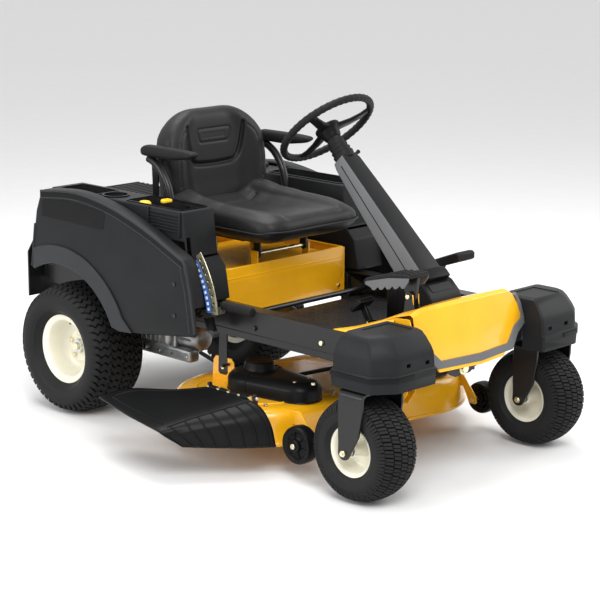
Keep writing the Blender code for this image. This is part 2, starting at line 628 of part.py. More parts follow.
def pedals(mats):
    """Forward treadle, small reverse pedal beside it, and the brake pedal on the left."""
    steel, rubber = mats["steel"], mats["rubber"]
    pivot = (-0.200, -1.358, 0.599)
    pad = [(-1.195, 0.612), (-1.385, 0.660), (-1.392, 0.672), (-1.300, 0.668), (-1.192, 0.632)]
    forward = prism("forward_pedal", pad, "X", -0.245, -0.155, rubber, pivot)
    web = prism("treadle_web", [(-1.335, 0.590), (-1.375, 0.590), (-1.384, 0.664), (-1.310, 0.646)], "X",
                -0.207, -0.193, steel, pivot)
    fuse(forward, web)
    pivot = (-0.160, -1.150, 0.470)
    reverse = prism("reverse_pedal", [(-1.090, 0.510), (-1.130, 0.545), (-1.140, 0.537), (-1.100, 0.500)], "X",
                    -0.195, -0.125, rubber, pivot)
    arm = prism("reverse_arm", [(-1.144, 0.462), (-1.157, 0.478), (-1.122, 0.532), (-1.110, 0.514)], "X",
                -0.166, -0.154, steel, pivot)
    fuse(reverse, arm)
    pivot = (0.200, -1.080, 0.470)
    brake = prism("brake_pedal", [(-1.112, 0.600), (-1.234, 0.652), (-1.240, 0.662), (-1.118, 0.618)], "X",
                  0.160, 0.240, rubber, pivot)
    arm = prism("brake_arm", [(-1.070, 0.465), (-1.090, 0.465), (-1.160, 0.630), (-1.140, 0.614)], "X",
                0.193, 0.207, steel, pivot)
    fuse(brake, arm)


# ---- engine and drive ----------------------------------------------------------------------------------

def engine(mats):
    """Vertical-shaft twin: crankcase, two cylinder heads and the moulded blower cover."""
    block = box("engine_block", (-0.120, 0.010, PLATE_Z + 0.0063), (0.120, 0.250, 0.570), mats["cast"])
    heads = [box(f"cylinder_{k}", (s * 0.165 - 0.065, 0.120, 0.470), (s * 0.165 + 0.065, 0.290, 0.550), mats["cast"])
             for k, s in enumerate((-1, 1))]
    shaft = rod("crankshaft", (*ENGINE_PULLEY, 0.2503), (*ENGINE_PULLEY, 0.50), 0.0127, mats["cast"])
    boss = box("crank_boss", (-0.045, -0.060, PLATE_Z + 0.0063), (0.045, 0.020, 0.520), mats["cast"])
    fuse(block, *heads, boss, shaft)
    cover = [(-0.200, 0.5705), (0.200, 0.5705), (0.180, 0.660), (0.110, 0.715), (-0.110, 0.715), (-0.180, 0.660)]
    bevel(prism("engine_cover", cover, "Y", 0.000, 0.300, mats["plastic"]), 0.012, 2)


def transaxle(side, mats):
    """Hydrostatic drive: finned pump ahead, gear case round the axle, and the axle shaft to the wheel."""
    s = SIDES[side]
    look = mats["cast"]

    def block(name, x0, x1, y0, y1, z0, z1):
        low, high = sorted((s * x0, s * x1))
        return box(f"{side}_{name}", (low, y0, z0), (high, y1, z1), look)

    body = bevel(block("transaxle", 0.140, 0.280, -0.330, 0.080, 0.252, 0.345), 0.012, 1)
    pump = block("pump", 0.155, 0.275, -0.440, -0.320, 0.2525, 0.335)
    sump = block("sump", 0.226, 0.276, -0.435, -0.150, 0.216, 0.262)
    case = turned(f"{side}_gear_case", [(0.0, -0.045), (0.082, -0.045), (0.082, 0.045), (0.0, 0.045)], "X",
                  (s * 0.220, 0.0, REAR_R), look, 18)
    start, end = (s * 0.250, 0.0, REAR_R), (s * (REAR_X - 0.0046), 0.0, REAR_R)
    shaft = rod(f"{side}_axle_shaft", start, end, 0.0127, look)
    return fuse(body, pump, sump, case, shaft)


# ---- deck ----------------------------------------------------------------------------------------------

def loop_round(circles, grow, steps=10):
    """The outline of a band pulled round circles, given in order, anticlockwise."""
    made = []
    count = len(circles)
    for i, (cx, cy, r) in enumerate(circles):
        before, after = circles[i - 1], circles[(i + 1) % count]

        def leaving(first, second):
            dx, dy = second[0] - first[0], second[1] - first[1]
            lean = math.asin((first[2] - second[2]) / math.hypot(dx, dy))
            return math.degrees(math.atan2(dy, dx) - math.pi / 2 + lean)

        start, end = leaving(before, circles[i]), leaving(circles[i], after)
        end += 360 * math.ceil((start - end) / 360)
        made += arc((cx, cy), r + grow, start, end, steps)
    return made


def deck_circles(radius):
    return [(*SPINDLES["right"], radius), (*SPINDLES["left"], radius)]


def lift_pin():
    """Where each rear hanger pin is across the mower, with the deck raised."""
    t = math.radians(LIFT_HALF_SWING)
    return LIFT_Y + LIFT_ARM * math.cos(t), LIFT_Z + LIFT_ARM * math.sin(t)


def deck_shell(mats):
    """Stamped two-blade shell with a rounded top edge, side discharge, hangers and wheel brackets."""
    look = mats["paint"]
    levels = [(0.000, DECK_LOW), (0.000, 0.160), (-0.008, 0.184), (-0.030, DECK_TOP)]
    loops = [[(x, y, z) for x, y in loop_round(deck_circles(DECK_R), grow, 16)] for grow, z in levels]
    shell = rings("deck_shell", loops, look)
    levels = [(0.0, 0.02), (0.0, 0.158), (-0.008, 0.181), (-0.030, DECK_TOP - DECK_WALL)]
    loops = [[(x, y, z) for x, y in loop_round(deck_circles(DECK_R - DECK_WALL), grow, 16)] for grow, z in levels]
    holes = [rod(f"spindle_hole_{k}", (x, y, 0.15), (x, y, 0.30), 0.024, look, sides=16)
             for k, (x, y) in enumerate(SPINDLES.values())]
    discharge = box("discharge_opening", (-0.620, -0.930, 0.095), (-0.485, -0.610, 0.175), look)
    cut(shell, rings("deck_hollow", loops, look), *holes, discharge)
    hangers = []
    for side, s in SIDES.items():
        low, high = sorted((s * 0.292, s * 0.297))
        outline = [(-0.638, 0.192), (-0.580, 0.192), (-0.592, 0.470), (-0.604, 0.482), (-0.624, 0.482),
                   (-0.636, 0.470)]
        hangers.append(prism(f"{side}_hanger", outline, "X", low, high, look))
        pin = lift_pin()
        low, high = sorted((s * 0.295, s * 0.309))
        hangers.append(rod(f"{side}_hanger_pin", (low, *pin), (high, *pin), 0.006, look))
        x, y, z, _ = SCALP[side]
        near, far = sorted((s * 0.365, s * 0.371))
        arm = [(y - 0.014, z - 0.014), (y + 0.018, z - 0.014), (y + 0.045, 0.150), (y + 0.17, 0.150),
               (y + 0.17, 0.196), (y + 0.05, 0.196), (y - 0.014, z + 0.014)]
        hangers.append(prism(f"{side}_scalp_arm", arm, "X", near, far, look))
        hangers.append(rod(f"{side}_scalp_pin", (near, y, z), (s * 0.452, y, z), 0.006, look))
    hangers += [box(f"chute_ear_{k}", (-0.468, y, 0.165), (-0.448, y + 0.008, 0.250), look)
                for k, y in enumerate((-0.936, -0.728))]
    hangers += [box(f"front_ear_{k}", (x, -1.190, 0.150), (x + 0.005, -1.050, 0.262), look)
                for k, x in enumerate((-0.022, 0.017))]
    hangers.append(rod("front_pin", (-0.020, DECK_PIN_Y, DECK_PIN_Z), (0.020, DECK_PIN_Y, DECK_PIN_Z), 0.006, look))
    return fuse(shell, *hangers)


def belt_circles(grow=0.0):
    right, left = SPINDLES["right"], SPINDLES["left"]
    return [(*right, PULLEY_R + grow), (*left, PULLEY_R + grow), (*ENGINE_PULLEY, ENGINE_PULLEY_R + grow)]


def drive_belt(mats):
    """V-belt round both spindle pulleys and the engine pulley."""
    outer, inner = loop_round(belt_circles(), 0.008), loop_round(belt_circles(), 0.0006)
    loops = [[(x, y, z) for x, y in outline]
             for outline, z in ((outer, BELT_LOW), (outer, BELT_TOP), (inner, BELT_TOP), (inner, BELT_LOW))]
    return rings("drive_belt", loops, mats["rubber"], closed=True)


def belt_cover(side, mats):
    """Domed cover over a spindle pulley and the deck ahead of it, open where the belt runs."""
    x, y = SPINDLES[side]

    def shape(name, grow, low):
        levels = [(0.0, low), (0.0, 0.244), (-0.020, 0.262), (-0.048, 0.268), (-0.056, 0.293)]
        loops = []
        for lean, z in levels:
            round_hub, front = 0.102 + lean - grow, 0.072 + lean * 0.85 - grow
            ahead = [(x, y, round_hub), (x, y - 0.190, front)]
            height = z if z == low else z - grow
            loops.append([(a, b, height) for a, b in loop_round(ahead, 0.0)])
        return rings(name, loops, mats["plastic"])

    cover = smooth(shape(f"{side}_belt_cover", 0.0, DECK_TOP + GAP))
    slot = prism(f"{side}_belt_slot", loop_round(belt_circles(), 0.016), "Z", 0.10, 0.2485, mats["plastic"])
    return cut(cover, shape(f"{side}_cover_room", 0.003, 0.150), slot)


def spindle(side, mats):
    """Blade shaft with its V pulley."""
    x, y = SPINDLES[side]
    mid = (BELT_LOW + BELT_TOP) / 2
    profile = [(0.0, 0.1114), (0.020, 0.1114), (0.020, 0.124), (0.0127, 0.128), (0.0127, 0.206), (0.066, 0.219)]
    profile += [(PULLEY_R - 0.001, mid - 0.007), (PULLEY_R - 0.001, mid + 0.007), (0.066, 0.245), (0.016, 0.248)]
    profile += [(0.016, 0.262), (0.0, 0.262)]
    return smooth(turned(f"{side}_spindle", profile, "Z", (x, y, 0.0), mats["cast"], 22))


def blade(side, mats):
    """Flat bar with its cutting edges at the ends and lifted sails behind them."""
    x, y = SPINDLES[side]
    half, thick = 0.030, 0.0025
    loops = []
    for reach, lift in ((-BLADE_R, 0.020), (-BLADE_R + 0.075, 0.0), (BLADE_R - 0.075, 0.0), (BLADE_R, 0.020)):
        back = half if reach < 0 else -half
        lead = (x + reach, y - back * 0.95, BLADE_Z - thick), (x + reach, y - back * 0.95, BLADE_Z + thick)
        trail = (x + reach, y + back * 0.95, BLADE_Z + thick + lift), (x + reach, y + back * 0.95,
                                                                      BLADE_Z - thick + lift)
        loop = [lead[0], lead[1], trail[0], trail[1]]
        loops.append(loop if reach < 0 else [loop[3], loop[2], loop[1], loop[0]])
    return rings(f"{side}_blade", loops, mats["steel"], (x, y, BLADE_Z))


def engine_pulley(mats):
    """Tall drum, so that the belt stays on it as the deck goes down."""
    r = ENGINE_PULLEY_R
    profile = [(0.0, 0.164), (0.030, 0.164), (r + 0.007, 0.167), (r + 0.007, 0.171), (r - 0.001, 0.175)]
    profile += [(r - 0.001, 0.244), (r + 0.007, 0.247), (r + 0.007, 0.250), (0.0, 0.250)]
    return smooth(turned("engine_pulley", profile, "Z", (*ENGINE_PULLEY, 0.0), mats["cast"], 22))


def anti_scalp_wheel(side, mats):
    x, y, z, r = SCALP[side]
    profile = [(0.0066, -0.030), (0.020, -0.030), (0.024, -0.022), (r - 0.012, -0.024), (r - 0.002, -0.020)]
    profile += [(r, -0.010), (r, 0.010), (r - 0.002, 0.020), (r - 0.012, 0.024), (0.024, 0.022), (0.020, 0.030)]
    profile += [(0.0066, 0.030)]
    return smooth(turned(f"{side}_anti_scalp_wheel", profile, "X", (x, y, z), mats["rubber"], 18))


def discharge_chute(mats):
    """Deflector: a plate that slopes out from its hinge, with a deep flange along its front edge."""
    rows = [
        [(-0.478, -0.735, 0.240), (-0.480, -0.840, 0.240), (-0.482, -0.930, 0.236), (-0.476, -0.985, 0.215),
         (-0.470, -1.020, 0.165), (-0.466, -1.035, 0.102)],
        [(-0.540, -0.640, 0.224), (-0.550, -0.780, 0.224), (-0.560, -0.890, 0.219), (-0.560, -0.950, 0.196),
         (-0.552, -0.975, 0.155), (-0.546, -0.982, 0.104)],
        [(-0.615, -0.508, 0.207), (-0.640, -0.700, 0.204), (-0.660, -0.840, 0.196), (-0.665, -0.885, 0.172),
         (-0.650, -0.900, 0.140), (-0.632, -0.905, 0.106)],
        [(-0.700, -0.505, 0.187), (-0.738, -0.660, 0.180), (CHUTE_OUT, -0.800, 0.170), (-0.748, -0.835, 0.150),
         (-0.722, -0.848, 0.130), (-0.694, -0.850, 0.110)],
    ]
    points = [p for row in rows for p in row]
    width = len(rows[0])
    faces = [(i * width + k, (i + 1) * width + k, (i + 1) * width + k + 1, i * width + k + 1)
             for i in range(len(rows) - 1) for k in range(width - 1)]
    pivot = (CHUTE_X, -0.840, CHUTE_Z)
    chute = solid("discharge_chute", points, faces, mats["plastic"], pivot)
    if chute.data.polygons[0].normal.z < 0:
        chute.data.flip_normals()
    thicken(smooth(chute, 50), 0.004)
    pin = rod("chute_hinge", (CHUTE_X, -0.930, CHUTE_Z), (CHUTE_X, -0.735, CHUTE_Z), 0.007, mats["plastic"], pivot)
    return fuse(chute, pin)


# ---- deck lift -----------------------------------------------------------------------------------------

def lift_shaft(mats):
    """Cross shaft between the rails, with an arm each side whose open fork holds the deck's hanger pin."""
    pivot = (0.0, LIFT_Y, LIFT_Z)
    look = mats["steel"]
    shaft = rod("lift_shaft", (-0.308, LIFT_Y, LIFT_Z), (0.308, LIFT_Y, LIFT_Z), 0.0095, look, pivot)
    t = math.radians(LIFT_HALF_SWING)
    arms = []
    for side, s in SIDES.items():
        low, high = sorted((s * 0.300, s * 0.306))
        path = [(-0.014, -0.014), (-0.014, 0.014), (0.098, 0.014), (0.098, 0.0075), (0.066, 0.0075),
                (0.066, -0.0075), (0.098, -0.0075), (0.098, -0.014)]
        outline = [(LIFT_Y + a * math.cos(t) - b * math.sin(t), LIFT_Z + a * math.sin(t) + b * math.cos(t))
                   for a, b in path]
        arms.append(prism(f"{side}_lift_arm", outline, "X", low, high, look, pivot))
    return fuse(shaft, *arms)


def lift_lever(mats):
    """Flat lever inside the right fender, out through the quadrant, with a forward-pointing grip."""
    pivot = (-0.440, LEVER_Y, LEVER_Z)
    look = mats["zinc"]
    outline = [(-0.325, 0.402), (-0.325, 0.428), (-0.690, 0.478), (-0.720, 0.486), (-0.720, 0.462), (-0.690, 0.452)]
    bar = prism("lift_lever", outline, "X", -0.433, -0.427, look, pivot)
    out = box("lever_offset", (-0.432, -0.718, 0.464), (-0.385, -0.704, 0.484), look, pivot)
    tang = box("lever_tang", (-0.400, -0.845, 0.486), (-0.394, -0.712, 0.500), look, pivot)
    post = box("lever_post", (-0.400, -0.717, 0.470), (-0.386, -0.710, 0.498), look, pivot)
    fuse(bar, out, post, tang)
    grip = sweep("lift_grip", [(-0.397, -0.722, 0.493), (-0.397, -0.860, 0.493)], 0.016, mats["rubber"], pivot, 14)
    hole = box("grip_bore", (-0.4006, -0.846, 0.4854), (-0.3934, -0.700, 0.5006), mats["rubber"], pivot)
    cut(grip, hole)


def lift_quadrant(mats):
    """Notched plate that guides the lever, standing in the gap ahead of the fender."""
    centre = (LEVER_Y, LEVER_Z)
    outer, inner = arc(centre, 0.372, 141, 172, 8), arc(centre, 0.336, 172, 141, 8)
    prism("lift_quadrant", outer + inner, "X", -0.4420, -0.4385, mats["zinc"])


def front_lift_link(mats):
    """Bar from the front hanger to the deck's front pin, with a long open slot at the deck end."""
    pivot = (0.0, FRONT_LINK_Y, FRONT_LINK_Z)
    start = Vector((FRONT_LINK_Y, FRONT_LINK_Z))
    along = (Vector((DECK_PIN_Y, DECK_PIN_Z)) - start).normalized()
    across = Vector((-along.y, along.x))
    reach = (Vector((DECK_PIN_Y, DECK_PIN_Z)) - start).length
    path = [(-0.014, -0.012), (-0.014, 0.012), (reach + 0.030, 0.015), (reach + 0.030, 0.008), (reach - 0.012, 0.008),
            (reach - 0.012, -0.008), (reach + 0.030, -0.008), (reach + 0.030, -0.015)]
    outline = [tuple(start + along * a + across * b) for a, b in path]
    link = prism("front_lift_link", outline, "X", -0.004, 0.004, mats["steel"], pivot)
    pin = rod("link_pin", (-0.0235, FRONT_LINK_Y, FRONT_LINK_Z), (0.0235, FRONT_LINK_Y, FRONT_LINK_Z), 0.007,
              mats["steel"], pivot)
    return fuse(link, pin)


# ---- seat ----------------------------------------------------------------------------------------------

def seat(mats):
    """Cushion and high back, tilting base, sliding frame with armrest posts, and two armrests."""
    look = mats["seat"]
    side = [(-0.300, 0.668), (-0.600, 0.660), (-0.715, 0.672), (-0.768, 0.702), (-0.772, 0.728), (-0.730, 0.752),
            (-0.600, 0.748), (-0.400, 0.728), (-0.300, 0.730)]
    bevel(prism("seat_cushion", side, "X", -0.235, 0.235, look), 0.022, 2)
    levels = [(0.672, 0.200, -0.2997, -0.215), (0.735, 0.225, -0.2997, -0.200), (0.850, 0.232, -0.300, -0.190),
              (0.950, 0.222, -0.275, -0.180), (1.020, 0.185, -0.262, -0.180), (1.064, 0.110, -0.245, -0.190)]
    loops = [[(-w, front, z), (w, front, z), (w, back, z), (-w, back, z)] for z, w, front, back in levels]
    bevel(rings("seat_back", loops, look), 0.018, 2)
    pivot = (0.0, SEAT_PIVOT_Y, SEAT_PIVOT_Z)
    steel = mats["steel"]
    base = box("seat_base", (-0.120, -0.603, 0.640), (0.120, -0.330, 0.645), steel, pivot)
    ears = [box(f"base_ear_{k}", (s * 0.111 - 0.004, -0.600, 0.590), (s * 0.111 + 0.004, -0.570, 0.642), steel, pivot)
            for k, s in enumerate((-1, 1))]
    bar = rod("seat_hinge_bar", (-0.120, SEAT_PIVOT_Y, SEAT_PIVOT_Z), (0.120, SEAT_PIVOT_Y, SEAT_PIVOT_Z), 0.007,
              steel, pivot)
    fuse(base, *ears, bar)
    frame = box("seat_frame", (-0.150, -0.560, 0.6455), (0.150, -0.320, 0.6535), steel)
    outrigger = box("frame_outrigger", (-0.290, -0.362, 0.6455), (0.290, -0.312, 0.6535), steel)
    posts = [box(f"arm_post_{k}", (s * 0.270 - 0.020, -0.358, 0.650), (s * 0.270 + 0.020, -0.316, 0.9037), steel)
             for k, s in enumerate((-1, 1))]
    fuse(frame, outrigger, *posts)
    for name, s in SIDES.items():
        profile = [(-0.190, 0.908), (-0.340, 0.904), (-0.450, 0.922), (-0.474, 0.940), (-0.460, 0.954),
                   (-0.205, 0.954), (-0.186, 0.940)]
        low, high = sorted((s * 0.247, s * 0.300))
        bevel(prism(f"{name}_armrest", profile, "X", low, high, mats["rubber"], (s * 0.2735, ARM_Y, ARM_Z)), 0.008)


def build():
    clear_scene()
    root = bpy.data.objects.new("mower", None)
    root.location = (*MIDDLE, 0.0)
    bpy.context.scene.collection.objects.link(root)
    mats = make_materials()
    for side in SIDES:
        rear_wheel(side, mats)
        front_wheel(side, mats)
        caster_fork(side, mats)
        frame_rail(side, mats)
        caster_cover(side, mats)
        transaxle(side, mats)
        belt_cover(side, mats)
        spindle(side, mats)
        blade(side, mats)
        anti_scalp_wheel(side, mats)
    for make in (front_crossmember, engine_plate, rear_bumper, floor_pan, seat_box, battery, hood, right_fender,
                 left_fender, fuel_tank, fuel_cap, controls, steering_column, steering_wheel, pedals, engine,
                 deck_shell, drive_belt, engine_pulley, discharge_chute, lift_shaft, lift_lever, lift_quadrant,
                 front_lift_link, seat):
        make(mats)


build()
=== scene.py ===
"""Riding lawn mower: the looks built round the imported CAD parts.

Shapes are worked out in the mower's own frame, as in the CAD source: x = 0 on the centre line with +X the
mower's left, y = 0 on the rear axle with +Y the rear, z = 0 on the ground. put() moves each to the
row frame.
"""

import json
import math

import bmesh
import bpy
from mathutils import Matrix, Vector
from mathutils.bvhtree import BVHTree
from mathutils.kdtree import KDTree


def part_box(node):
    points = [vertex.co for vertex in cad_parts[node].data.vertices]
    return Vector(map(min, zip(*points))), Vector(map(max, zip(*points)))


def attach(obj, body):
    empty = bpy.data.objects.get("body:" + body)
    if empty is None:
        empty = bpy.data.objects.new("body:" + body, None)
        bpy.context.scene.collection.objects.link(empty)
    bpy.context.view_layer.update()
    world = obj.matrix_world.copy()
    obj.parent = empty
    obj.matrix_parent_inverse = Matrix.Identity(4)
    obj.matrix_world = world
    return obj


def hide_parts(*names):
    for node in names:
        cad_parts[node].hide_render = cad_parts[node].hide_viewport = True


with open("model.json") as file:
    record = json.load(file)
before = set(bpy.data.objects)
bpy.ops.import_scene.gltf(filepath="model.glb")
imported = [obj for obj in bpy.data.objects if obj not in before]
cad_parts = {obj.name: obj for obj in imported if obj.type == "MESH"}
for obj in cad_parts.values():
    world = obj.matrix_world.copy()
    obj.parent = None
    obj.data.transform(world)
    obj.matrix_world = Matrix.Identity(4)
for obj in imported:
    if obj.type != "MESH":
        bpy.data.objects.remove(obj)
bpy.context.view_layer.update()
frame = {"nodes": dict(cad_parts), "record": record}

right_tyre, left_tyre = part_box("rear_right_tyre"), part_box("rear_left_tyre")
SHIFT = Vector(((right_tyre[0].x + left_tyre[1].x) / 2, (right_tyre[0].y + right_tyre[1].y) / 2, 0.0))

REAR_X, REAR_R = 0.402, 0.2286
FRONT_X, FRONT_Y, FRONT_R = 0.420, -1.371, 0.165
CASTER_Y = -1.415
SIDES = {"right": -1, "left": 1}


# ---- shapes --------------------------------------------------------------------------------------------

def solid(name, points, faces, look, angle=35.0):
    """A mesh object from points and faces, smooth but for its sharp edges."""
    bm = bmesh.new()
    made = [bm.verts.new(p) for p in points]
    for face in faces:
        bm.faces.new([made[i] for i in face])
    bmesh.ops.recalc_face_normals(bm, faces=bm.faces)
    mesh = bpy.data.meshes.new(name)
    bm.to_mesh(mesh)
    bm.free()
    mesh.materials.append(look)
    item = bpy.data.objects.new(name, mesh)
    bpy.context.scene.collection.objects.link(item)
    return shade(item, angle)


def shade(item, angle=35.0):
    """Smooth shading, with edges sharper than the angle kept."""
    item.data.shade_smooth()
    item.data.set_sharp_from_angle(angle=math.radians(angle))
    return item


def rings(name, loops, look, closed=False, caps=True, angle=35.0):
    """A closed skin through loops of points, capped at both ends unless it closes on itself."""
    count = len(loops[0])
    points = [p for loop in loops for p in loop]
    faces = []
    for i in range(len(loops) if closed else len(loops) - 1):
        a, b = i * count, ((i + 1) % len(loops)) * count
        for k in range(count):
            n = (k + 1) % count
            faces.append((a + k, a + n, b + n, b + k))
    if caps and not closed:
        faces.append(tuple(range(count)))
        faces.append(tuple(range(len(points) - count, len(points))))
    return solid(name, points, faces, look, angle)


def sheet(name, rows, look, thickness=0.0, angle=35.0, upward=None):
    """A surface through rows of points, thickened away from the side that faces upward."""
    wide = len(rows[0])
    points = [p for row in rows for p in row]
    faces = [(i * wide + k, (i + 1) * wide + k, (i + 1) * wide + k + 1, i * wide + k + 1)
             for i in range(len(rows) - 1) for k in range(wide - 1)]
    item = solid(name, points, faces, look, angle)
    if upward is not None:
        total = sum((p.normal * p.area for p in item.data.polygons), Vector())
        if total.dot(Vector(upward)) < 0:
            item.data.flip_normals()
    if thickness:
        step = item.modifiers.new("thick", "SOLIDIFY")
        step.thickness = thickness
        step.offset = -1
        step.use_even_offset = True
    return item


def placed(axis, flat, along):
    a, b = flat
    return {"X": (along, a, b), "Y": (a, along, b), "Z": (a, b, along)}[axis]


def prism(name, outline, axis, low, high, look, edge=0.0, segments=2, angle=35.0):
    """An outline in a plane across an axis, extruded from low to high along it."""
    item = rings(name, [[placed(axis, p, v) for p in outline] for v in (low, high)], look, angle=angle)
    return bevel(item, edge, segments) if edge else item


def box(name, low, high, look, edge=0.0, segments=2):
    """A block between two corners, with its edges rounded where a bevel is given."""
    outline = [(low[0], low[1]), (high[0], low[1]), (high[0], high[1]), (low[0], high[1])]
    return prism(name, outline, "Z", low[2], high[2], look, edge, segments)


def between(side, near, far):
    """Low and high x of a stretch on one side of the centre line."""
    return sorted((side * near, side * far))


def turned(name, profile, axis, centre, look, steps=48, angle=35.0):
    """Turns a profile of (radius, place along the axis) about an axis. A closed profile makes a ring."""
    points, faces, rows = [], [], []
    for radius, along in profile:
        start = len(points)
        if radius < 1e-6:
            rows.append([start] * steps)
            points.append(tuple(Vector(centre) + Vector(placed(axis, (0.0, 0.0), along))))
            continue
        rows.append(list(range(start, start + steps)))
        for k in range(steps):
            t = 2 * math.pi * k / steps
            flat = (radius * math.cos(t), radius * math.sin(t))
            points.append(tuple(Vector(centre) + Vector(placed(axis, flat, along))))
    for i, row in enumerate(rows):
        after = rows[(i + 1) % len(rows)]
        for k in range(steps):
            n = (k + 1) % steps
            face = list(dict.fromkeys((row[k], row[n], after[n], after[k])))
            if len(face) > 2:
                faces.append(face)
    return solid(name, points, faces, look, angle)


def disc(name, radius, low, high, axis, centre, look, sides):
    """Plain round plate or pin between two heights along an axis."""
    return turned(name, [(0, low), (radius, low), (radius, high), (0, high)], axis, centre, look, sides)


def tube(name, path, radius, look, sides=16, closed=False):
    """A round bar along a path. The radius is one number or one for each point."""
    path = [Vector(p) for p in path]
    count = len(path)
    radii = radius if isinstance(radius, (list, tuple)) else [radius] * count
    loops, across = [], None
    for i, p in enumerate(path):
        before = path[i - 1] if i or closed else p
        after = path[(i + 1) % count] if i < count - 1 or closed else p
        along = (after - before).normalized()
        if across is None:
            across = along.orthogonal().normalized()
        across = (across - along * across.dot(along)).normalized()
        other = along.cross(across)
        turns = [2 * math.pi * k / sides for k in range(sides)]
        loops.append([tuple(p + (across * math.cos(t) + other * math.sin(t)) * radii[i]) for t in turns])
    return rings(name, loops, look, closed, angle=50.0)


def arc(centre, radius, start, end, count):
    """Points of a circle arc, the angles in degrees."""
    made = []
    for k in range(count):
        t = math.radians(start + (end - start) * k / (count - 1))
        made.append((centre[0] + radius * math.cos(t), centre[1] + radius * math.sin(t)))
    return made


def rounded(low, high, radius, count=5):
    """A rectangle's outline with round corners."""
    (x0, y0), (x1, y1), r = low, high, radius
    made = arc((x1 - r, y1 - r), r, 0, 90, count) + arc((x0 + r, y1 - r), r, 90, 180, count)
    return made + arc((x0 + r, y0 + r), r, 180, 270, count) + arc((x1 - r, y0 + r), r, 270, 360, count)


def smooth_line(points, steps=6):
    """Points on a soft curve through the given ones."""
    points = [Vector(p) for p in points]
    made = []
    for i in range(len(points) - 1):
        p0, p1 = points[max(0, i - 1)], points[i]
        p2, p3 = points[i + 1], points[min(len(points) - 1, i + 2)]
        for k in range(steps):
            t = k / steps
            made.append(tuple(0.5 * ((2 * p1) + (p2 - p0) * t + (2 * p0 - 5 * p1 + 4 * p2 - p3) * t * t
                                     + (3 * p1 - p0 - 3 * p2 + p3) * t ** 3)))
    return made + [tuple(points[-1])]


def band(circles, grow=0.0, steps=12):
    """The outline of a band pulled round circles, given in order, anticlockwise."""
    made = []
    count = len(circles)
    for i, (cx, cy, r) in enumerate(circles):
        def leaving(first, second):
            dx, dy = second[0] - first[0], second[1] - first[1]
            lean = math.asin((first[2] - second[2]) / math.hypot(dx, dy))
            return math.degrees(math.atan2(dy, dx) - math.pi / 2 + lean)

        start, end = leaving(circles[i - 1], circles[i]), leaving(circles[i], circles[(i + 1) % count])
        end += 360 * math.ceil((start - end) / 360)
        made += arc((cx, cy), r + grow, start, end, steps)
    return made


def bevel(item, width, segments=2, angle=30.0):
    """Adds a bevel on edges sharper than the limit."""
    step = item.modifiers.new("bevel", "BEVEL")
    step.width = width
    step.segments = segments
    step.limit_method = "ANGLE"
    step.angle_limit = math.radians(angle)
    step.harden_normals = False
    return item


def bake(item):
    """Applies the modifiers and keeps the result as the mesh."""
    graph = bpy.context.evaluated_depsgraph_get()
    made = bpy.data.meshes.new_from_object(item.evaluated_get(graph))
    item.modifiers.clear()
    item.data = made
    return item


def boolean(item, operation, others):
    """Applies one Boolean operation with each of the tools, and removes them."""
    for other in others:
        bake(other)
        step = item.modifiers.new(operation.lower(), "BOOLEAN")
        step.operation = operation
        step.object = other
    bake(item)
    for other in others:
        bpy.data.objects.remove(other)
    return shade(item, 30.0)


def cut(item, *others):
    """Takes the tools away from a shape."""
    return boolean(item, "DIFFERENCE", others)


def fuse(item, *others):
    """Joins the tools to a shape as one solid."""
    return boolean(item, "UNION", others)


def merge(name, *items):
    """Several shapes as one piece, each with its own material."""
    bm = bmesh.new()
    looks = []
    for item in items:
        bake(item)
        index = []
        for look in item.data.materials:
            if look not in looks:
                looks.append(look)
            index.append(looks.index(look))
        start = len(bm.faces)
        bm.from_mesh(item.data)
        bm.faces.ensure_lookup_table()
        for face in bm.faces[start:]:
            face.material_index = index[face.material_index]
        bpy.data.objects.remove(item)
    mesh = bpy.data.meshes.new(name)
    bm.to_mesh(mesh)
    bm.free()
    for look in looks:
        mesh.materials.append(look)
    made = bpy.data.objects.new(name, mesh)
    bpy.context.scene.collection.objects.link(made)
    return made


def put(item, body, slot, *nodes):
    """Moves a finished shape to the row frame and lets it ride on a body."""
    bake(item)
    item.data.transform(item.matrix_world)
    item.matrix_world = Matrix.Identity(4)
    item.data.transform(Matrix.Translation(SHIFT))
    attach(item, body)
    if nodes:
        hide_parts(*nodes)
    return item


def hexagon(name, centre, axis, across, low, high, look):
    """A bolt head or nut across an axis."""
    flat = arc((0, 0), across / math.sqrt(3), 0, 300, 6)
    mid = {"X": (centre[1], centre[2]), "Y": (centre[0], centre[2]), "Z": (centre[0], centre[1])}[axis]
    outline = [(a + mid[0], b + mid[1]) for a, b in flat]
    return prism(name, outline, axis, low, high, look, 0.0008, 1)


# ---- materials -----------------------------------------------------------------------------------------

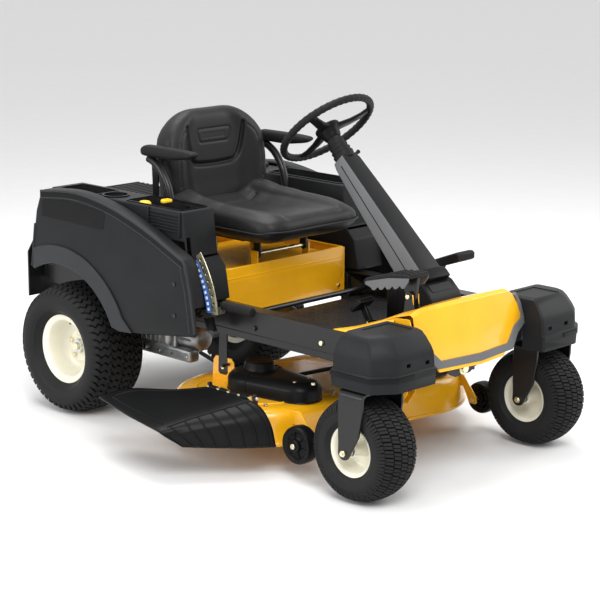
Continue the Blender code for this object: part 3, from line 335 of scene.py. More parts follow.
def surface(name, colour, roughness, metallic=0.0, vary=0.07, spread=0.06, grain=500.0, relief=0.03,
            coat=0.0,
            cloud=9.0, upward_grey=0.0, shine=0.5):
    """Paint, plastic or metal with uneven tone and roughness and a fine grain."""
    made = bpy.data.materials.new(name)
    made.use_nodes = True
    nodes, links = made.node_tree.nodes, made.node_tree.links
    shader = nodes["Principled BSDF"]
    where = nodes.new("ShaderNodeTexCoord")
    tone = nodes.new("ShaderNodeTexNoise")
    tone.inputs["Scale"].default_value = cloud
    tone.inputs["Detail"].default_value = 5.0
    links.new(where.outputs["Object"], tone.inputs["Vector"])
    ramp = nodes.new("ShaderNodeValToRGB")
    ramp.color_ramp.elements[0].position = 0.3
    ramp.color_ramp.elements[1].position = 0.7
    ramp.color_ramp.elements[0].color = (*[max(0.0, c * (1 - vary)) for c in colour], 1.0)
    ramp.color_ramp.elements[1].color = (*[min(1.0, c * (1 + vary)) for c in colour], 1.0)
    links.new(tone.outputs["Fac"], ramp.inputs["Fac"])
    base = ramp.outputs["Color"]
    fine = nodes.new("ShaderNodeTexNoise")
    fine.inputs["Scale"].default_value = grain
    fine.inputs["Detail"].default_value = 3.0
    links.new(where.outputs["Object"], fine.inputs["Vector"])
    # Faces turned upward are mixed towards grey by up to the given share, so tops come out lighter.
    if upward_grey:
        shape = nodes.new("ShaderNodeNewGeometry")
        split = nodes.new("ShaderNodeSeparateXYZ")
        links.new(shape.outputs["Normal"], split.inputs["Vector"])
        up = nodes.new("ShaderNodeMapRange")
        up.inputs["From Min"].default_value = -0.2
        up.inputs["From Max"].default_value = 1.0
        up.inputs["To Max"].default_value = upward_grey
        links.new(split.outputs["Z"], up.inputs["Value"])
        mix = nodes.new("ShaderNodeMix")
        mix.data_type = "RGBA"
        mix.inputs["B"].default_value = (0.32, 0.32, 0.32, 1.0)
        links.new(up.outputs["Result"], mix.inputs["Factor"])
        links.new(base, mix.inputs["A"])
        base = mix.outputs["Result"]
    links.new(base, shader.inputs["Base Color"])
    rough = nodes.new("ShaderNodeMapRange")
    rough.inputs["To Min"].default_value = max(0.03, roughness - spread)
    rough.inputs["To Max"].default_value = min(1.0, roughness + spread)
    links.new(tone.outputs["Fac"], rough.inputs["Value"])
    links.new(rough.outputs["Result"], shader.inputs["Roughness"])
    bump = nodes.new("ShaderNodeBump")
    bump.inputs["Strength"].default_value = relief
    bump.inputs["Distance"].default_value = 0.001
    links.new(fine.outputs["Fac"], bump.inputs["Height"])
    links.new(bump.outputs["Normal"], shader.inputs["Normal"])
    shader.inputs["Metallic"].default_value = metallic
    shader.inputs["Coat Weight"].default_value = coat
    shader.inputs["Specular IOR Level"].default_value = shine
    return made


PAINT = surface("yellow_coat", (0.93, 0.455, 0.008), 0.26, vary=0.05, grain=260, relief=0.02, coat=0.35)
PLASTIC = surface("textured_plastic", (0.0125, 0.0130, 0.0140), 0.44, vary=0.12, grain=900, relief=0.18,
                  upward_grey=0.02,
                  shine=0.12)
DARK = surface("dark_plastic", (0.0060, 0.0062, 0.0066), 0.36, vary=0.15, grain=800, relief=0.10,
               shine=0.12)
GREY = surface("grey_plastic", (0.125, 0.128, 0.132), 0.46, vary=0.06, grain=900, relief=0.12, shine=0.25)
COVER = surface("column_cover", (0.0080, 0.0082, 0.0088), 0.36, vary=0.08, grain=900, relief=0.10,
                shine=0.2)
STEEL = surface("black_steel", (0.0090, 0.0092, 0.0096), 0.30, vary=0.15, grain=350, relief=0.05, coat=0.08,
                shine=0.3)
TYRE = surface("tyre_rubber", (0.0150, 0.0152, 0.0158), 0.62, vary=0.15, grain=350, relief=0.15, upward_grey=0.03,
               shine=0.1)
SIDEWALL = surface("side_rubber", (0.0120, 0.0122, 0.0126), 0.55, vary=0.12, grain=300, relief=0.10,
                   upward_grey=0.03, shine=0.14)
RUBBER = surface("grip_rubber", (0.012, 0.012, 0.013), 0.52, vary=0.15, grain=700, relief=0.2, shine=0.14)
CREAM = surface("cream_coat", (0.80, 0.77, 0.64), 0.30, vary=0.04, grain=240, relief=0.02, coat=0.3)
CAST = surface("cast_metal", (0.30, 0.305, 0.31), 0.36, 0.9, vary=0.28, spread=0.16, grain=240, relief=0.5,
               cloud=22)
BLOCK = surface("dark_casting", (0.09, 0.092, 0.095), 0.45, 0.7, vary=0.4, spread=0.16, grain=200,
                relief=0.5, cloud=26)
ZINC = surface("zinc_plate", (0.80, 0.74, 0.52), 0.28, 1.0, vary=0.12, spread=0.10, grain=160, relief=0.04,
               cloud=30)
BRIGHT = surface("bright_steel", (0.62, 0.62, 0.61), 0.26, 1.0, vary=0.10, grain=200, relief=0.03, cloud=40)
KNOB = surface("yellow_plastic", (0.95, 0.56, 0.01), 0.35, vary=0.05, grain=500, relief=0.05)
# A lighter copy of the black plastic: painted highlight on the arch lip, the fender ridges and the rear
# bead.
HIGHLIGHT_PLASTIC = surface("painted_highlight_plastic", (0.0300, 0.0312, 0.0335), 0.46, vary=0.10, grain=900, relief=0.18, shine=0.16)
# Darker rubber for the floor between the tread bars: painted shade in the tread recesses.
SHADED_TREAD_FLOOR = surface("tread_floor_painted_shade", (0.004, 0.004, 0.0045), 0.85, vary=0.2, grain=300, relief=0.1, shine=0.1)
WHITE = surface("white_strip", (0.85, 0.86, 0.87), 0.35, vary=0.04, grain=500, relief=0.03)
BLUE = surface("blue_strip", (0.03, 0.12, 0.42), 0.35, vary=0.08, grain=500, relief=0.03)
VINYL = surface("seat_vinyl", (0.0100, 0.0102, 0.0108), 0.42, vary=0.10, grain=420, relief=0.42, upward_grey=0.03,
                shine=0.22)


# ---- wheels --------------------------------------------------------------------------------------------

def bars(name, centre, radius, columns, pitch_count, halves, look):
    """Tread bars: each column is a list of (across, top radius, base radius, offset along the tread)."""
    points, faces = [], []
    for stations, stagger in columns:
        for k in range(pitch_count):
            for middle, half in halves:
                start = len(points)
                for across, top, base, ahead in stations:
                    where = 2 * math.pi * (k + stagger) / pitch_count + (ahead + middle) / radius
                    for r, h in ((top, half - 0.0007), (base, half), (base, -half), (top, 0.0007 - half)):
                        t = where + h / radius
                        points.append((centre[0] + across, centre[1] + r * math.cos(t),
                                       centre[2] + r * math.sin(t)))
                for i in range(len(stations) - 1):
                    a, b = start + 4 * i, start + 4 * (i + 1)
                    faces += [(a + j, a + (j + 1) % 4, b + (j + 1) % 4, b + j) for j in range(4)]
                end = start + 4 * (len(stations) - 1)
                faces += [(start, start + 3, start + 2, start + 1), (end, end + 1, end + 2, end + 3)]
    return solid(name, points, faces, look, 25.0)


def bar_column(xs, ahead, crown, depth):
    """The stations of one column of tread blocks."""
    return [(x, crown(x), crown(x) - depth, a) for x, a in zip(xs, ahead)]


def tyre_shell(name, centre, profile, crown, depth, edge):
    """Carcass: profile from the bead to the shoulder, then the floor between the tread bars."""
    floor = [(crown(x) - depth, x) for x in [edge * k / 5 for k in range(5, -1, -1)]]
    outer = profile + floor
    full = outer + [(r, -x) for r, x in reversed(outer[:-1])]
    inner = [(profile[0][0], profile[0][1] - 0.012), (profile[3][0], profile[3][1] - 0.012)]
    full += [(r, -x) for r, x in inner] + [(r, x) for r, x in reversed(inner)]
    shell = turned(name, full, "X", centre, SIDEWALL, 96, 40.0)
    # The floor between the tread bars takes the darker rubber as painted shade.
    shell.data.materials.append(SHADED_TREAD_FLOOR)
    for face in shell.data.polygons:
        out = math.hypot(face.center.y - centre[1], face.center.z - centre[2])
        if abs(face.center.x - centre[0]) < edge + 0.004 and out > profile[-1][0] - 0.006:
            face.material_index = 1
    return shell


def rear_wheel(side):
    """Rear tyre with zigzag treads, cream rim, lugs and hub."""
    s = SIDES[side]
    centre = (s * REAR_X, 0.0, REAR_R)

    def crown(x):
        return REAR_R - 0.0175 * (abs(x) / 0.100) ** 2.2

    profile = [(0.1038, 0.0740), (0.1190, 0.0745), (0.1225, 0.0775), (0.1300, 0.0900), (0.1420, 0.1010),
               (0.1430, 0.1035), (0.1480, 0.1050), (0.1490, 0.1060), (0.1620, 0.1105), (0.1760, 0.1118),
               (0.1880, 0.1105), (0.1960, 0.1065), (0.2020, 0.1010)]
    shell = tyre_shell(f"rear_{side}_tyre_body", centre, profile, crown, 0.0075, 0.0960)
    zigzag = (-0.0065, 0.0065, -0.0045, 0.0065, -0.0065)
    columns = []
    for low, high, stagger in ((-0.0980, -0.0515, 0.0), (-0.0485, -0.0015, 0.5), (0.0015, 0.0485, 0.0),
                               (0.0515, 0.0980, 0.5)):
        xs = [low + (high - low) * k / 4 for k in range(5)]
        stations = bar_column(xs, zigzag, crown, 0.010)
        if high < -0.05:
            stations = [(-0.1095, 0.1900, 0.1840, -0.012), (-0.1055, 0.2030, 0.1960, -0.010)] + stations
        if low > 0.05:
            stations = stations + [(0.1055, 0.2030, 0.1960, -0.010), (0.1095, 0.1900, 0.1840, -0.012)]
        columns.append((stations, stagger))
    tread = bars(f"rear_{side}_tread", centre, REAR_R, columns, 50, ((0.0, 0.0102),), TYRE)
    put(merge(f"rear_{side}_tyre_look", shell, tread), f"rear_{side}_wheel", "tyre", f"rear_{side}_tyre")

    face = [(0.000, 0.020), (0.013, 0.020), (0.016, 0.017), (0.017, 0.008), (0.050, 0.008), (0.056, 0.006),
            (0.060, 0.000), (0.070, -0.002), (0.085, 0.002), (0.092, 0.012), (0.096, 0.030),
            (0.0985, 0.066),
            (0.1020, 0.0735), (0.1100, 0.0760), (0.1165, 0.0775), (0.1195, 0.0800), (0.1215, 0.0795),
            (0.1215, 0.0775), (0.1180, 0.0745), (0.1100, 0.0735), (0.1036, 0.0720)]
    back = [(0.1036, -0.0720), (0.1200, -0.0755), (0.1200, -0.0795), (0.1010, -0.0745), (0.0975, -0.030),
            (0.0900, -0.004), (0.070, -0.010), (0.050, -0.006), (0.000, -0.006)]
    rim = turned(f"rear_{side}_rim_disc", [(r, s * x) for r, x in face + back], "X", centre, CREAM, 72,
                 50.0)
    parts = [rim]
    for k in range(5):
        t = math.radians(90 + 72 * k)
        spot = (centre[0], 0.046 * math.cos(t), REAR_R + 0.046 * math.sin(t))
        low, high = sorted((centre[0] + s * 0.007, centre[0] + s * 0.0175))
        parts.append(hexagon(f"lug_{k}", spot, "X", 0.017, low, high, ZINC))
    cap = [(0, s * 0.0085), (0.026, s * 0.0085), (0.024, s * 0.0225), (0, s * 0.0225)]
    parts.append(turned("hub_cap", cap, "X", centre, BRIGHT, 40))
    low, high = sorted((centre[0] + s * 0.022, centre[0] + s * 0.031))
    parts.append(hexagon("axle_nut", centre, "X", 0.024, low, high, ZINC))
    stem = [(centre[0] + s * 0.030, 0.0, REAR_R + 0.093), (centre[0] + s * 0.052, 0.0, REAR_R + 0.086)]
    parts.append(tube("valve", stem, 0.004, RUBBER, 10))
    put(merge(f"rear_{side}_rim_look", *parts), f"rear_{side}_wheel", "cream_paint", f"rear_{side}_rim")


def front_wheel(side):
    """Front tyre with block treads, its rim and hub."""
    s = SIDES[side]
    centre = (s * FRONT_X, FRONT_Y, FRONT_R)

    def crown(x):
        return FRONT_R - 0.0220 * (abs(x) / 0.0795) ** 2.3

    profile = [(0.0738, 0.0585), (0.0800, 0.0590), (0.0830, 0.0610), (0.0890, 0.0700), (0.0960, 0.0755),
               (0.0970, 0.0770), (0.1080, 0.0792), (0.1180, 0.0794), (0.1280, 0.0775), (0.1360, 0.0730)]
    shell = tyre_shell(f"front_{side}_tyre_body", centre, profile, crown, 0.0045, 0.0700)
    columns = []
    for k in range(5):
        low = -0.0690 + 0.0279 * k
        xs = [low, low + 0.0120, low + 0.0240]
        columns.append((bar_column(xs, (-0.0030, 0.0, 0.0030), crown, 0.0080), 0.5 * (k % 2)))
    for sign in (-1, 1):
        edge = [(sign * 0.0712, 0.1470, 0.1405, 0.0), (sign * 0.0762, 0.1370, 0.1310, 0.001),
                (sign * 0.0793, 0.1270, 0.1225, 0.002)]
        columns.append((edge if sign > 0 else edge[::-1], 0.25))
    halves = ((-0.0057, 0.0051), (0.0057, 0.0051))
    tread = bars(f"front_{side}_tread", centre, FRONT_R, columns, 40, halves, TYRE)
    put(merge(f"front_{side}_tyre_look", shell, tread), f"front_{side}_wheel", "tyre", f"front_{side}_tyre")

    half = [(0.0150, 0.0610), (0.0205, 0.0610), (0.0210, 0.0300), (0.0230, 0.0100), (0.0280, 0.0040),
            (0.0420, 0.0060), (0.0560, 0.0050), (0.0640, 0.0120), (0.0672, 0.0260), (0.0690, 0.0520),
            (0.0715, 0.0590), (0.0770, 0.0620), (0.0800, 0.0645), (0.0816, 0.0640), (0.0816, 0.0620),
            (0.0780, 0.0590), (0.0736, 0.0575)]
    profile = half + [(r, -x) for r, x in reversed(half)]
    rim = turned(f"front_{side}_rim_disc", profile, "X", centre, CREAM, 64, 50.0)
    seam = turned("rim_seam", [(0.058, 0.0045), (0.058, 0.0075), (0.0595, 0.0075), (0.0595, 0.0045)], "X",
                  centre,
                  DARK, 48)
    stem = [(centre[0] - 0.020, FRONT_Y - 0.052, FRONT_R + 0.036),
            (centre[0] - 0.034, FRONT_Y - 0.048, FRONT_R + 0.033)]
    valve = tube("valve", stem, 0.0035, RUBBER, 10)
    put(merge(f"front_{side}_rim_look", rim, seam, valve), f"front_{side}_wheel", "cream_paint",
        f"front_{side}_rim")


def caster_fork(side):
    """Bent strap over the wheel, tapered to the axle bolt, with the caster's stem."""
    s = SIDES[side]
    reach, thick = 0.0845, 0.0085
    outer = [(FRONT_X - reach - thick, 0.130), (FRONT_X - reach - thick, 0.340)]
    outer += arc((FRONT_X - reach + 0.012, 0.340), 0.0205, 180, 90, 6)
    outer += arc((FRONT_X + reach - 0.012, 0.340), 0.0205, 90, 0, 6)
    outer += [(FRONT_X + reach + thick, 0.130), (FRONT_X + reach, 0.130), (FRONT_X + reach, 0.340)]
    outer += arc((FRONT_X + reach - 0.012, 0.340), 0.012, 0, 90, 5)
    outer += arc((FRONT_X - reach + 0.012, 0.340), 0.012, 90, 180, 5) + [(FRONT_X - reach, 0.130)]
    outline = [(s * x, z) for x, z in outer]
    strap = prism(f"{side}_fork_strap", outline, "Y", -1.480, -1.335, STEEL)
    leg = [(-1.345, 0.400), (-1.345, 0.225), (-1.347, 0.190)] + arc((-1.369, 0.1665), 0.0235, -10, -150, 9)
    leg += [(-1.405, 0.185), (-1.428, 0.225), (-1.442, 0.300), (-1.446, 0.400)]
    bake(strap)
    boolean(strap, "INTERSECT", [prism("fork_side", leg, "X", s * FRONT_X - 0.2, s * FRONT_X + 0.2, STEEL)])
    bevel(strap, 0.0015, 2, 40)
    parts = [strap]
    for end in (-1, 1):
        x = s * FRONT_X + end * (reach + thick)
        low, high = sorted((x, x + end * 0.0075))
        parts.append(hexagon(f"axle_head_{end}", (x, FRONT_Y, FRONT_R), "X", 0.019, low, high, ZINC))
        low, high = sorted((x, x + end * 0.013))
        parts.append(disc(f"axle_end_{end}", 0.006, low, high, "X", (0.0, FRONT_Y, FRONT_R), ZINC, 16))
        near, far = sorted((s * FRONT_X + end * 0.062, s * FRONT_X + end * (reach + 0.001)))
        parts.append(disc(f"spacer_{end}", 0.0125, near, far, "X", (0.0, FRONT_Y, FRONT_R), BRIGHT, 20))
    stem = [(0.0, 0.352), (0.028, 0.352), (0.028, 0.374), (0.0158, 0.379), (0.0158, 0.497), (0.0, 0.499)]
    parts.append(turned(f"{side}_caster_stem", stem, "Z", (s * FRONT_X, CASTER_Y, 0.0), STEEL, 28))
    put(merge(f"{side}_fork_look", *parts), f"{side}_caster", "black_steel", f"{side}_caster_fork")


for side in SIDES:
    rear_wheel(side)
    front_wheel(side)
    caster_fork(side)


# ---- hood and caster covers ----------------------------------------------------------------------------

def grown(rows, steps=5):
    """A finer grid of points through a coarse one."""
    across = [smooth_line(row, steps) for row in rows]
    return [list(row) for row in zip(*[smooth_line(column, steps) for column in zip(*across)])]


def hood():
    """Yellow front cowl with a flat lower face, chamfered corners, grey trim and the bolted deck hanger."""
    def face_y(x, z):
        """The front face leans and bows a little."""
        return -1.470 + 0.30 * (z - 0.400) * 0.62 + 0.42 * x * x

    crest = [(-0.258, 0.5560), (-0.225, 0.5700), (-0.100, 0.5760), (0.040, 0.5780), (0.180, 0.5720),
             (0.214, 0.5560),
             (0.250, 0.5100)]
    lower = [(-0.258, 0.4720), (-0.222, 0.4560), (-0.172, 0.4050), (0.000, 0.4020), (0.148, 0.4050),
             (0.196, 0.4500),
             (0.250, 0.4680)]
    rear = [(-0.262, -1.222, 0.4935), (-0.225, -1.224, 0.4945), (-0.100, -1.228, 0.4955),
            (0.020, -1.230, 0.4960),
            (0.150, -1.228, 0.4955), (0.225, -1.224, 0.4945), (0.262, -1.222, 0.4935)]
    middle = [(-0.262, -1.335, 0.5380), (-0.225, -1.345, 0.5490), (-0.100, -1.352, 0.5560),
              (0.030, -1.354, 0.5580),
              (0.180, -1.350, 0.5530), (0.228, -1.345, 0.5400), (0.258, -1.335, 0.5200)]
    columns = []
    for (cx, cz), (lx, lz), back, mid in zip(crest, lower, rear, middle):
        top = (cx, face_y(cx, cz) + 0.012, cz)
        edge = (cx, face_y(cx, cz - 0.008), cz - 0.008)
        foot = (lx, face_y(lx, lz), lz)
        half = tuple((a + b) / 2 for a, b in zip(edge, foot))
        columns.append([back, tuple((a + b) / 2 for a, b in zip(back, mid)), mid, top, edge, half, foot])
    skin = sheet("hood_skin", columns, PAINT, 0.0035, 22.0, (0, -0.5, 1))
    bake(skin)
    bevel(skin, 0.004, 3, 18)
    bake(skin)
    shade(skin, 40.0)
    notch = box("hood_notch", (-0.0765, -1.334, 0.30), (0.0765, -1.10, 0.65), PAINT)
    cut(skin, notch)
    parts = [skin]
    for s in (-1, 1):
        wing = [[(s * 0.257, -1.214, 0.4945), (s * 0.300, -1.205, 0.4930), (s * 0.357, -1.175, 0.4895)],
                [(s * 0.257, -1.256, 0.5100), (s * 0.300, -1.250, 0.5020), (s * 0.357, -1.225, 0.4900)],
                [(s * 0.257, -1.300, 0.5250), (s * 0.300, -1.292, 0.5040), (s * 0.357, -1.285, 0.4905)],
                [(s * 0.257, -1.340, 0.5360), (s * 0.296, -1.345, 0.4990), (s * 0.357, -1.340, 0.4910)]]
        parts.append(sheet(f"wing_{s}", grown(wing, 4), PAINT, 0.0035, 60.0, (0, 0, 1)))
        wall = [(-1.228, 0.4930), (-1.335, 0.5360), (-1.400, 0.540), (-1.415, 0.500), (-1.430, 0.470),
                (-1.330, 0.487)]
        low, high = between(s, 0.2545, 0.2585)
        parts.append(prism(f"hood_wall_{s}", wall, "X", low, high, PAINT, 0.001, 1))
        ear = [(-1.338, 0.545), (-1.378, 0.560), (-1.370, 0.606)] + arc((-1.358, 0.602), 0.012, 180, 0, 6)
        low, high = sorted((-0.200 + s * 0.010, -0.200 + s * 0.016))
        parts.append(prism(f"treadle_ear_{s}", ear, "X", low, high, STEEL, 0.001, 1))
    put(merge("hood_look", *parts), "chassis", "yellow_paint", "hood")

    def strip(name, inner, outer, look, rise, deep):
        loops = []
        for (x0, z0), (x1, z1) in zip(inner, outer):
            y0, y1 = face_y(x0, z0), face_y(x1, z1)
            loops.append([(x0, y0 + deep, z0), (x0, y0 - rise, z0), (x1, y1 - rise, z1),
                          (x1, y1 + deep, z1)])
        return bevel(rings(name, loops, look, angle=30.0), 0.0015, 2)

    inner = [(-0.262, 0.4760), (-0.222, 0.4570), (-0.172, 0.4055), (0.000, 0.4025), (0.148, 0.4055),
             (0.196, 0.4505),
             (0.252, 0.4690), (0.238, 0.5150), (0.222, 0.5450)]
    outer = [(-0.262, 0.4450), (-0.238, 0.4350), (-0.190, 0.3830), (0.000, 0.3790), (0.172, 0.3830),
             (0.216, 0.4280),
             (0.270, 0.4500), (0.256, 0.5150), (0.232, 0.5520)]
    put(strip("hood_trim", inner, outer, GREY, 0.0045, 0.010), "chassis", "grey_plastic")
    inner = [(-0.188, 0.3840), (0.000, 0.3800), (0.130, 0.3830)]
    outer = [(-0.184, 0.3720), (0.000, 0.3680), (0.118, 0.3720)]
    put(strip("hood_lip", inner, outer, PAINT, 0.0020, 0.006), "chassis", "yellow_paint")

    hanger = [(-0.160, 0.388), (0.100, 0.388), (0.085, 0.370), (0.010, 0.352), (-0.015, 0.338),
              (-0.085, 0.335),
              (-0.108, 0.345), (-0.135, 0.366)]
    plate = prism("hanger_plate", hanger, "Y", -1.4440, -1.4380, STEEL, 0.0012, 1)
    bolts = [hexagon("hanger_bolt", (-0.050, 0.0, 0.358), "Y", 0.026, -1.4560, -1.4440, ZINC),
             disc("hanger_washer", 0.020, -1.4465, -1.4440, "Y", (-0.050, 0.0, 0.358), ZINC, 24)]
    bolts += [hexagon(f"hanger_small_{k}", (x, 0.0, z), "Y", 0.013, -1.4500, -1.4440, ZINC)
              for k, (x, z) in enumerate(((0.045, 0.374), (-0.115, 0.372)))]
    put(merge("front_hanger", plate, *bolts), "chassis", "black_steel")


def caster_cover(side):
    """Moulded cap over the end of the crossmember, with a ledge, a raised top and square clip slots."""
    s = SIDES[side]

    def level(grow, x0, x1, y0, y1, corner, z):
        """Outline with a chamfered outer front corner and round corners."""
        x0, x1, y0, y1 = x0 + grow, x1 - grow, y0 + grow, y1 - grow
        cut_x, cut_y = x1 - corner, y0 + corner * 0.75
        made = [(x0, y1), (x0, y0 + 0.006), (x0 + 0.006, y0), (cut_x - 0.012, y0), (cut_x, y0 + 0.004),
                (x1 - 0.004, cut_y), (x1, cut_y + 0.012), (x1, y1 - 0.008), (x1 - 0.008, y1)]
        return [(s * x, y, z) for x, y in made]

    def shape(name, grow):
        table = ((0.262, 0.506, -1.517, -1.303, 0.066, 0.364 - 8 * grow),
                 (0.262, 0.508, -1.518, -1.302, 0.066, 0.395),
                 (0.262, 0.508, -1.518, -1.302, 0.066, 0.414), (0.263, 0.502, -1.513, -1.304, 0.064, 0.418),
                 (0.264, 0.500, -1.510, -1.305, 0.062, 0.462), (0.266, 0.494, -1.502, -1.307, 0.060, 0.480),
                 (0.270, 0.484, -1.484, -1.314, 0.056, 0.506),
                 (0.274, 0.474, -1.470, -1.322, 0.052, 0.522 - grow),
                 (0.282, 0.462, -1.458, -1.330, 0.048, 0.529 - grow))
        return rings(name, [level(grow, *row) for row in table], PLASTIC, angle=38.0)

    cover, room = shape(f"{side}_cover_look", 0.0), shape("room", 0.004)
    low, high = between(s, 0.200, 0.3665)
    behind = box("rail_gap", (low, -1.420, 0.30), (high, -1.290, 0.4935), PLASTIC)
    low, high = between(s, 0.200, 0.300)
    middle = box("beam_gap", (low, -1.431, 0.30), (high, -1.290, 0.4800), PLASTIC)
    cutters = [room, behind, middle]
    for k, (x, z) in enumerate(((0.300, 0.436), (0.385, 0.440), (0.425, 0.404))):
        low, high = sorted((s * (x - 0.009), s * (x + 0.009)))
        cutters.append(box(f"slot_{k}", (low, -1.540, z - 0.006), (high, -1.500, z + 0.006), PLASTIC))
    low, high = between(s, 0.300, 0.420)
    cutters.append(box("top_step", (low, -1.455, 0.5262), (high, -1.350, 0.56), PLASTIC))
    cut(cover, *cutters)
    bevel(cover, 0.0022, 2, 45)
    rim = [level(0.0, 0.262, 0.5105, -1.5205, -1.300, 0.067, z) for z in (0.398, 0.411)]
    rim = [[(x, y, z) for x, y, z in loop] for loop in rim]
    inner = [level(0.006, 0.256, 0.5105, -1.5205, -1.294, 0.067, z) for z in (0.411, 0.398)]
    ledge = rings("cover_ledge", [rim[0], rim[1], inner[0], inner[1]], DARK, closed=True)
    low, high = between(s, 0.3655, 0.60)
    keep = [(low, -1.60), (high, -1.60), (high, -1.25), (low, -1.25)]
    boolean(ledge, "INTERSECT", [prism("keep", keep, "Z", 0.3, 0.6, DARK)])
    put(merge(f"{side}_caster_cover_look", cover, ledge), "chassis", "black_plastic",
        f"{side}_caster_cover")


hood()
for side in SIDES:
    caster_cover(side)


# ---- steering ------------------------------------------------------------------------------------------

WHEEL = Vector((0.0, -0.800, 1.040))
TILT = math.radians(43.0)
NORMAL = Vector((0.0, math.sin(TILT), math.cos(TILT)))
ACROSS = Vector((1.0, 0.0, 0.0))
WHEEL_UP = NORMAL.cross(ACROSS)


def steering_wheel():
    """Thick ring with finger bumps behind it, three dished spokes and a round hub."""
    def at(radius, turn, lift=0.0):
        return WHEEL + (ACROSS * math.cos(turn) + WHEEL_UP * math.sin(turn)) * radius + NORMAL * lift

    count = 288
    path = [at(0.1625, 2 * math.pi * k / count) for k in range(count)]
    bumps = [0.0118 + 0.0011 * max(0.0, math.sin(2 * math.pi * k * 48 / count)) ** 0.6
             if math.sin(2 * math.pi * k * 48 / count) > 0 else 0.0118 for k in range(count)]
    ring = tube("steering_ring", path, bumps, RUBBER, 20, True)
    hub_profile = [(0.0, -0.044), (0.026, -0.044), (0.030, -0.036), (0.034, -0.018), (0.041, -0.010),
                   (0.044, -0.004),
                   (0.043, 0.002), (0.036, 0.005), (0.0, 0.0065)]
    hub = turned("steering_hub", hub_profile, "Z", (0, 0, 0), DARK, 48)
    turn = Matrix((ACROSS, WHEEL_UP, NORMAL)).transposed().to_4x4()
    hub.data.transform(turn)
    hub.data.transform(Matrix.Translation(WHEEL))
    parts = [ring, hub]
    for k, degrees in enumerate((90, 210, 330)):
        t = math.radians(degrees)
        out = ACROSS * math.cos(t) + WHEEL_UP * math.sin(t)
        wide = NORMAL.cross(out)
        loops = []
        for reach, half, lift, thick in ((0.018, 0.024, -0.008, 0.0060), (0.045, 0.0205, -0.009, 0.0058),
                                         (0.080, 0.0165, -0.010, 0.0055), (0.120, 0.0145, -0.007, 0.0052),
                                         (0.145, 0.0150, -0.002, 0.0052), (0.160, 0.0185, 0.0, 0.0050)):
            middle = WHEEL + out * reach + NORMAL * lift
            flat = [(half * a, thick * b) for a,
                    b in ((-1, -0.3), (-0.8, -1), (0.8, -1), (1, -0.3), (1, 0.4),
                                                       (0.78, 1), (0.60, 0.55), (-0.60, 0.55), (-0.78, 1),
                          (-1, 0.4))]
            loops.append([tuple(middle + wide * a + NORMAL * b) for a, b in flat])
        parts.append(rings(f"spoke_{k}", loops, DARK, angle=50.0))
    put(merge("steering_wheel_look", *parts), "steering", "grip_rubber", "steering_wheel")


def steering_column():
    """Leaning column with pale side faces (the left one in view) as painted light, its boot, collar and
    sloped base.
    """
    base = Vector((0.0, -1.228, 0.600))
    along = Vector((0.0, 0.356, 0.358)).normalized()
    depth = along.cross(ACROSS)

    def loop(distance, half_wide, half_deep, corner):
        centre = base + along * distance
        flat = rounded((-half_wide, -half_deep), (half_wide, half_deep), corner, 4)
        return [tuple(centre + ACROSS * a + depth * b) for a, b in flat]

    stations = ((-0.020, 0.0500, 0.0500), (0.03, 0.0490, 0.0500), (0.10, 0.0460, 0.0480),
                (0.24, 0.0430, 0.0420),
                (0.38, 0.0400, 0.0350), (0.470, 0.0375, 0.0300), (0.490, 0.0340, 0.0270))
    column = rings("column", [loop(d, w, t, 0.006) for d, w, t in stations], COVER, angle=40.0)
    # Faces turned to either side get the grey plastic: painted light on the column's flanks.
    column.data.materials.append(GREY)
    for face in column.data.polygons:
        if abs(face.normal.x) > 0.75:
            face.material_index = 1
    seam = [base + along * d + ACROSS * (-w - 0.0002) + depth * 0.0 for d,
            w in ((0.02, 0.0492), (0.10, 0.0460),
                                                                               (0.24, 0.0430),
                  (0.38, 0.0400),
                                                                               (0.465, 0.0377))]
    line = tube("column_seam", seam, 0.0016, DARK, 8)
    collar = rings("column_collar", [loop(d, w, t, 0.009) for d, w, t in
                                     ((-0.034, 0.060, 0.060), (-0.012, 0.060, 0.060), (0.002, 0.057, 0.057),
                                      (0.006, 0.052, 0.052))], DARK)
    boot_path = [WHEEL - NORMAL * d for d in (0.130, 0.120, 0.108, 0.104, 0.092, 0.088, 0.076, 0.072, 0.060,
                                              0.050,
                                              0.043)]
    radii = [0.030, 0.034, 0.036, 0.031, 0.034, 0.029, 0.032, 0.027, 0.029, 0.026, 0.024]
    boot = tube("column_boot", boot_path, radii, RUBBER, 32)
    lever = tube("tilt_lever",
                 [WHEEL - NORMAL * 0.112 + ACROSS * 0.020, WHEEL - NORMAL * 0.112 + ACROSS * 0.058,
                                WHEEL - NORMAL * 0.106 + ACROSS * 0.074], [0.0045, 0.0045, 0.0075], DARK,
                 12)
    foot = [(-1.331, 0.4062), (-1.331, 0.545), (-1.318, 0.572), (-1.288, 0.600), (-1.276, 0.605),
            (-1.170, 0.605),
            (-1.156, 0.598), (-1.141, 0.560), (-1.139, 0.4062)]
    block = prism("column_base", foot, "X", -0.0755, 0.0755, DARK, 0.006, 3)
    face = Vector((0.0, -1.303, 0.5865))
    slope = Vector((0.0, 0.735, 0.678)).normalized()
    out = Vector((0.0, -0.678, 0.735)).normalized()
    flat = rounded((-0.050, -0.014), (0.050, 0.014), 0.004, 4)
    plate = rings("base_plate", [[tuple(face + ACROSS * a + slope * b + out * c) for a, b in flat]
                                 for c in (-0.003, 0.0012)], COVER)
    key_slot = [box(f"base_rib_{k}", (-0.0772, -1.300 + 0.030 * k, 0.440),
                    (-0.0750, -1.286 + 0.030 * k, 0.570), DARK,
                    0.0008, 1) for k in range(5)]
    put(merge("steering_column_look", column, line, collar, boot, lever, block, plate, *key_slot),
        "chassis",
        "grey_plastic", "steering_column")


